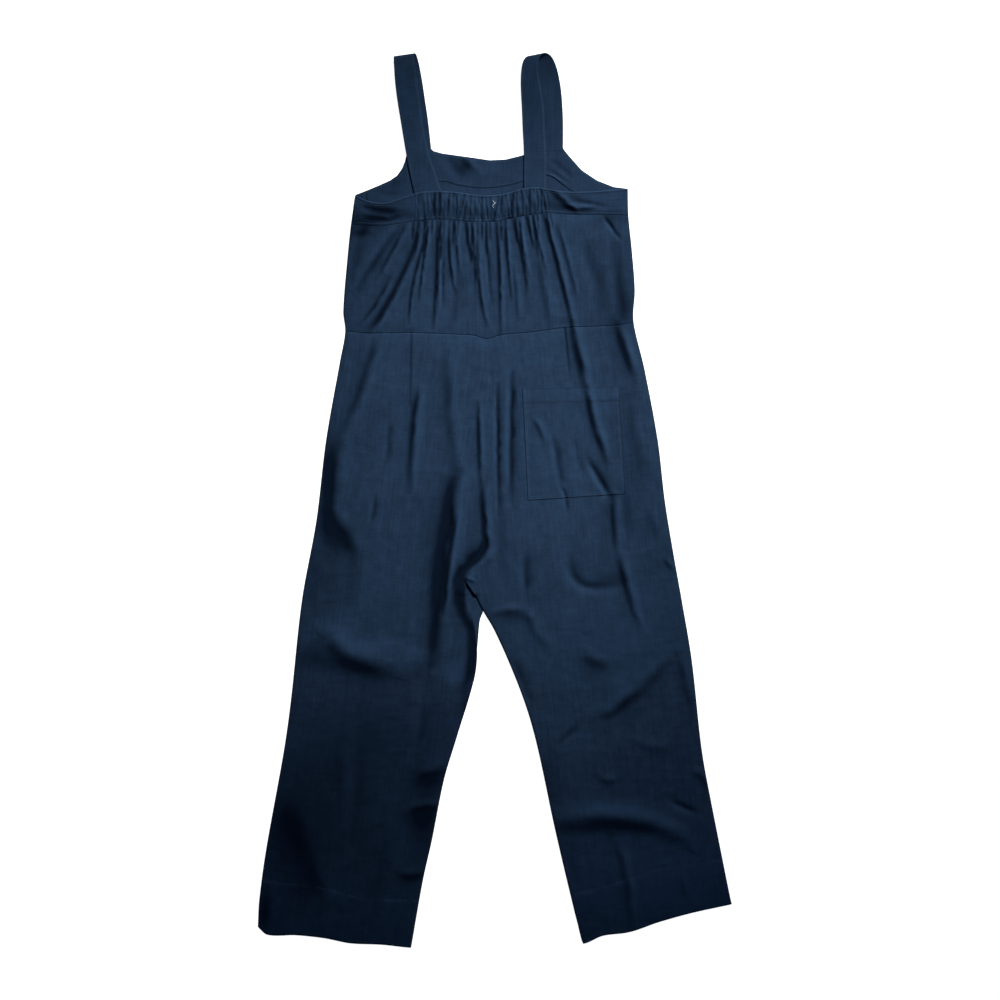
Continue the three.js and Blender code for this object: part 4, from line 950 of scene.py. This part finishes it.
def back_leg_cloth(x, y):
    """Height and painted shading of the back legs: paler in patches along the hem stitching, painted
    shade in the darts and along the waist seam.
    """
    pale = smooth(soft_noise(x, y / 4, 13, 95), -0.2, 0.5) * bump(hem_stitch(x) - y + 0.6, 2.0)
    # Painted shade just below the waist seam
    seam = (0.2 + 0.25 * soft_noise(x, y, 16, 96)) * bump(waist(x) - y - 0.4, 1.2)
    painted_shading = painted_shading_of(BACK_FOLDS, x, y) + 0.8 * pale + 1.1 * dart_relief(x, y)[1] - seam
    return back_height(x, y), painted_shading


def leg_place(name, side, inner_of, cloth_at):
    """Places of a leg panel. SIDE is -1 for the left leg and 1 for the right."""
    side_of = left_side if side < 0 else right_side
    hem = hem_left if side < 0 else hem_right
    lines = LEG_LINES_LEFT if side < 0 else LEG_LINES_RIGHT
    inner_heights, outer_heights = np.array(sorted(lines), dtype=float).T

    def place(across, down):
        inner_y = lerp(WAIST_MIDDLE, inner_heights[0], down)
        outer_y = np.interp(inner_y, inner_heights, outer_heights)
        inner_x = inner_of(side, inner_y)
        outer_x = side_of(outer_y)
        width = np.abs(outer_x - inner_x)
        share = near_edges(across if side > 0 else 1 - across, width, GRIDS[name][0]) / width
        x = lerp(inner_x, outer_x, share)
        waist_bow = waist(x) - lerp(WAIST_MIDDLE, outer_heights[-1], share)
        hem_bow = hem(x) - lerp(inner_heights[0], outer_heights[0], share)
        y = lerp(inner_y, outer_y, share) + waist_bow * bump(WAIST_MIDDLE - inner_y, 80)
        y += hem_bow * bump(inner_y - inner_heights[0], 50)
        return (x, y, *cloth_at(x, y))

    return place


def strap_surface(table):
    """Middle of a strap's cloth, read at shares across and along it."""
    rows = np.array(table, dtype=float)
    steps = np.linalg.norm(np.diff((rows[:, :3] + rows[:, 3:]) / 2, axis=0), axis=1)
    length = np.concatenate(([0], np.cumsum(steps)))
    lines = [Line(zip(length, column)) for column in rows.T]

    def surface(across, along):
        at = along * length[-1]
        x, y, z = (lerp(left(at), right(at), across) for left, right in zip(lines[:3], lines[3:]))
        wave = 0.18 * soft_noise(across * STRAP_WIDTH, at, 14, 81)
        return x, y, np.maximum(z, 0.84) + wave * smooth(at, 160, 220)

    return surface


def strap_place(table):
    """Places of a strap, with a painted highlight along the right edge of its back half."""
    surface = strap_surface(table)

    def place(across, down):
        x, y, z = surface(across, down)
        # Painted highlight along the right edge of the back half of the strap
        painted_edge_highlight = np.where(down > 0.5, bump((1 - across) * STRAP_WIDTH - 0.6, 1.6), 0)
        return x, y, z, painted_shading_of([], x, y) + 0.8 * painted_edge_highlight

    return place


def topstitch_lines(half_strap):
    """Lines of the navy topstitching, one after another, as X, Y and Z."""
    x = np.linspace(*CASING_STITCH_ENDS, 900)
    size = casing_size(x)
    for down in (CASING_STITCH_TOP / size, 1 - CASING_STITCH_LOW / size):
        yield x, lerp(casing_top(x), casing_low(x), down), casing_height(x, down)

    for ends in HEM_STITCH_ENDS:
        x = np.linspace(*ends, 700)
        y = hem_stitch(x)
        yield x, y, back_height(x, y)

    along = np.linspace(0.0, STRAP_STITCH_SHARE, 900)
    for surface in (strap_surface(LEFT_STRAP), strap_surface(RIGHT_STRAP)):
        for across in (STRAP_STITCH / STRAP_WIDTH, 1 - STRAP_STITCH / STRAP_WIDTH):
            here = np.column_stack(surface(across, along))
            step = np.column_stack(surface(across, along + 0.002)) - here
            far = np.column_stack(surface(across + 0.02, along)) - here
            out = np.cross(step, far)
            out /= np.linalg.norm(out, axis=1)[:, None]
            x, y, z = (here + half_strap * out).T
            yield x, y, np.maximum(z, STITCH_RADIUS)

    down = np.linspace(POCKET_STITCH, POCKET_DEPTH - POCKET_STITCH, 500) / POCKET_DEPTH
    across = np.linspace(POCKET_STITCH, POCKET_STITCH_FAR, 500) / POCKET_WIDTH
    lines = [(np.full(500, side), down) for side in (across[0], across[-1])]
    lines += [(across, np.full(500, level)) for level in (down[-1], POCKET_HEM / POCKET_DEPTH)]
    for across, down in lines:
        x = lerp(*pocket_sides(down), across)
        y = lerp(*pocket_ends(across), down)
        yield x, y, pocket_height(x, y, down)

    x = np.linspace(*FACING_STITCH_ENDS, 400)
    yield x, facing_edge(x) + FACING_STITCH, np.full_like(x, FACING_TOP - 0.45)


def tacking_lines():
    """The white tacking stitches, just above the cloth of the casing."""
    for x0, y0, x1, y1 in TACKS:
        x = np.linspace(x0, x1, 12)
        y = np.linspace(y0, y1, 12)
        z = casing_height(x, (casing_top(x) - y) / casing_size(x))
        yield x, y, np.maximum(z, z.mean()) + 0.3


def stitches(line, pitch):
    """Places of the stitches laid end to end along a line, half sunk in the cloth."""
    line = np.column_stack(line)
    sizes = np.linalg.norm(np.diff(line, axis=0), axis=1)
    steps = np.concatenate(([0], np.cumsum(sizes)))
    run = []
    for number in range(max(int(steps[-1] / pitch), 1)):
        ends = (number + 0.1) * pitch, (number + 0.9) * pitch
        start, end = (Vector([np.interp(at, steps, column) for column in line.T]) for at in ends)
        turn = (end - start).to_track_quat("Z", "Y").to_matrix().to_4x4()
        shape = Matrix.Diagonal((STITCH_RADIUS, STITCH_RADIUS, (end - start).length * 0.6, 1))
        run.append(Matrix.Translation((start + end) / 2) @ turn @ shape)
    return run


def add_stitches(run, name, material):
    """Make one piece of all the stitches of a run."""
    bm = bmesh.new()
    bmesh.ops.create_uvsphere(bm, u_segments=6, v_segments=4, radius=1.0)
    stitch = bpy.data.meshes.new("one stitch")
    bm.to_mesh(stitch)
    bm.clear()
    for _ in run:
        bm.from_mesh(stitch)
    mesh = mesh_of(bm, name)
    points = corners_of(mesh).reshape(len(run), -1, 3)
    turns = np.array([[list(row) for row in matrix] for matrix in run])
    places = np.einsum("nij,nkj->nki", turns[:, :3, :3], points) + turns[:, None, :3, 3]
    mesh.vertices.foreach_set("co", (places * MM).ravel())
    bpy.data.meshes.remove(stitch)
    add_piece(name, mesh, material, [])


class JumpsuitSettings(bpy.types.PropertyGroup):
    """Sizes, colours and light of the jumpsuit."""

    cloth_colour: FloatVectorProperty(
        name="Cloth colour", description="Colour of the linen", subtype="COLOR", size=3,
        min=0, max=1, default=(0.0162, 0.0368, 0.0730))
    thread_colour: FloatVectorProperty(
        name="Thread colour", description="Colour of the sewing thread", subtype="COLOR", size=3,
        min=0, max=1, default=(0.020, 0.045, 0.090))
    tack_colour: FloatVectorProperty(
        name="Tacking colour", description="Colour of the tacking thread", subtype="COLOR",
        size=3, min=0, max=1, default=(0.8, 0.8, 0.78))
    cloth_thickness: FloatProperty(
        name="Cloth thickness", description="Thickness of one panel with its turnings",
        subtype="DISTANCE", unit="LENGTH", min=0.0003, max=0.0012, default=0.0009)
    strap_thickness: FloatProperty(
        name="Strap thickness", description="Thickness of a strap of two layers",
        subtype="DISTANCE", unit="LENGTH", min=0.0008, max=0.002, default=0.0016)
    fold_depth: FloatProperty(
        name="Fold depth", description="Depth of the folds, as a share of the laid garment's",
        subtype="FACTOR", min=0, max=1.5, default=1.3)
    stitch_length: FloatProperty(
        name="Stitch length", description="Distance from one stitch to the next",
        subtype="DISTANCE", unit="LENGTH", min=0.002, max=0.005, default=0.003)
    key_power: FloatProperty(
        name="Key light", description="Power of the soft light above the shoulders",
        subtype="POWER", unit="POWER", min=0, max=900, default=330)
    middle_power: FloatProperty(
        name="Middle light", description="Power of the narrow soft light on the seat",
        subtype="POWER", unit="POWER", min=0, max=900, default=200)


class JUMPSUIT_OT_stage(bpy.types.Operator):
    """Make the floor, the light and the camera above the garment"""

    bl_idname = "jumpsuit.stage"
    bl_label = "Stage"

    def execute(self, context):
        scene = context.scene
        scene.view_settings.view_transform = "Standard"
        bm = bmesh.new()
        bmesh.ops.create_grid(bm, x_segments=1, y_segments=1, size=FLOOR_REACH,
                              matrix=Matrix.Translation((0, 0, FLOOR_LEVEL)))
        mesh = mesh_of(bm, "floor")
        mesh.materials.append(material_of("Floor paper", floor_paper))
        floor = add_object("floor", mesh)
        floor.visible_diffuse = False

        world = bpy.data.worlds.new("studio air")
        world.use_nodes = True
        sky = world.node_tree.nodes["Background"]
        sky.inputs["Color"].default_value = (0.1, 0.45, 1.0, 1)
        sky.inputs["Strength"].default_value = 0.085
        scene.world = world

        values = scene.jumpsuit
        away = Vector((*LIGHT_SIDE, LIGHT_RISE)).normalized() * LIGHT_DISTANCE
        # Power, width of the cone in degrees, and the place on the garment that it points at
        for name, power, size, across, along in (
                ("key light", values.key_power, 30.3, 0.225, 0.35),
                ("middle light", values.middle_power, 17.5, -0.035, 0.07)):
            light = bpy.data.lights.new(name, "SPOT")
            light.energy = power
            light.shadow_soft_size = 0.14
            light.spot_size = math.radians(size)
            light.spot_blend = 1.0
            lamp = add_object(name, light)
            lamp.location = Vector((across, along, 0.0)) + away
            lamp.rotation_euler = (-away).to_track_quat("-Z", "Y").to_euler()

        camera = bpy.data.cameras.new("camera")
        camera.lens = 85
        camera.sensor_width = 36
        bpy.context.scene.camera = add_object("camera", camera)
        scene.camera.location = CAMERA_PLACE
        return {"FINISHED"}


class JUMPSUIT_OT_front(bpy.types.Operator):
    """Make the front layer: bodice, facing and front legs, flat on the floor"""

    bl_idname = "jumpsuit.front"
    bl_label = "Front panels"

    def execute(self, context):
        values = context.scene.jumpsuit
        thick = values.cloth_thickness
        inside = material_of("Navy linen wrong side", linen, values.cloth_colour, 0.9)
        piece = cloth_sheet("bodice_front", front_bodice_place, "front_bodice", thick, inside)
        piece = cloth_sheet("neck_facing", facing_place, "front_facing", FACING_THICKNESS, inside)
        for name, node, side in (("leg_left_front", "leg_front_left", -1),
                                 ("leg_right_front", "leg_front_right", 1)):
            place = leg_place(name, side, front_inner, front_leg_cloth)
            piece = cloth_sheet(name, place, node, thick, navy_linen(), LEG_GRAIN * side)
        return {"FINISHED"}


class JUMPSUIT_OT_straps(bpy.types.Operator):
    """Make the two shoulder straps, folded over at the shoulder"""

    bl_idname = "jumpsuit.straps"
    bl_label = "Shoulder straps"

    def execute(self, context):
        thick = context.scene.jumpsuit.strap_thickness
        for name, node, table in (("strap_left_cloth", "strap_left", LEFT_STRAP),
                                  ("strap_right_cloth", "strap_right", RIGHT_STRAP)):
            piece = cloth_sheet(name, strap_place(table), node, thick, navy_linen(), offset=0.0)
            edge = piece.modifiers.new("Folded edge", "BEVEL")
            edge.width = STRAP_ROUNDING
            edge.segments = 3
            edge.limit_method = "ANGLE"
        return {"FINISHED"}


class JUMPSUIT_OT_back(bpy.types.Operator):
    """Make the back layer: bodice, elastic casing and back legs"""

    bl_idname = "jumpsuit.back"
    bl_label = "Back panels"

    def execute(self, context):
        thick = context.scene.jumpsuit.cloth_thickness
        cloth = navy_linen()
        piece = cloth_sheet("bodice_back", back_bodice_place, "back_bodice", thick, cloth)
        piece = cloth_sheet("casing_back", casing_place, "back_band", thick, cloth, CASING_GRAIN)
        for name, node, side in (("leg_left_back", "leg_back_left", -1),
                                 ("leg_right_back", "leg_back_right", 1)):
            place = leg_place(name, side, back_inner, back_leg_cloth)
            piece = cloth_sheet(name, place, node, thick, cloth, LEG_GRAIN * side)
        return {"FINISHED"}


class JUMPSUIT_OT_pocket(bpy.types.Operator):
    """Make the patch pocket on the right back leg"""

    bl_idname = "jumpsuit.pocket"
    bl_label = "Patch pocket"

    def execute(self, context):
        piece = cloth_sheet("pocket_back", pocket_place, "back_pocket", POCKET_THICKNESS,
                            navy_linen(), LEG_GRAIN / 2)
        return {"FINISHED"}


class JUMPSUIT_OT_stitching(bpy.types.Operator):
    """Sew the topstitching, the hems and the white tacking stitch"""

    bl_idname = "jumpsuit.stitching"
    bl_label = "Stitching"

    def execute(self, context):
        values = context.scene.jumpsuit
        run = []
        for line in topstitch_lines(values.strap_thickness / MM / 2):
            run += stitches(line, values.stitch_length / MM)
        thread = material_of("Navy sewing thread", twisted_thread, values.thread_colour)
        add_stitches(run, "topstitching", thread)

        run = []
        for x, y, z in tacking_lines():
            run += stitches((x, y, z), math.hypot(x[-1] - x[0], y[-1] - y[0]))
        tacking = material_of("White tacking thread", twisted_thread, values.tack_colour)
        add_stitches(run, "tacking_stitch", tacking)
        return {"FINISHED"}


class JUMPSUIT_PT_panel(bpy.types.Panel):
    """Sizes, colours and pieces of the jumpsuit"""

    bl_label = "Jumpsuit"
    bl_idname = "JUMPSUIT_PT_panel"
    bl_space_type = "VIEW_3D"
    bl_region_type = "UI"
    bl_category = "Jumpsuit"

    def draw(self, context):
        values = context.scene.jumpsuit
        for name in JumpsuitSettings.__annotations__:
            self.layout.prop(values, name)
        for operator in PIECES:
            self.layout.operator(operator.bl_idname)


PIECES = (
    JUMPSUIT_OT_stage,
    JUMPSUIT_OT_front,
    JUMPSUIT_OT_straps,
    JUMPSUIT_OT_back,
    JUMPSUIT_OT_pocket,
    JUMPSUIT_OT_stitching,
)
CLASSES = (JumpsuitSettings, *PIECES, JUMPSUIT_PT_panel)


def register():
    """Make the settings, the operators and the panel known."""
    for item in CLASSES:
        bpy.utils.register_class(item)
    bpy.types.Scene.jumpsuit = PointerProperty(type=JumpsuitSettings)


def unregister():
    """Take them out again."""
    del bpy.types.Scene.jumpsuit
    for item in reversed(CLASSES):
        bpy.utils.unregister_class(item)


def main():
    """Make the whole scene."""
    register()
    bpy.ops.jumpsuit.stage()
    bpy.ops.jumpsuit.front()
    bpy.ops.jumpsuit.straps()
    bpy.ops.jumpsuit.back()
    bpy.ops.jumpsuit.pocket()
    bpy.ops.jumpsuit.stitching()


if __name__ == "__main__":
    main()
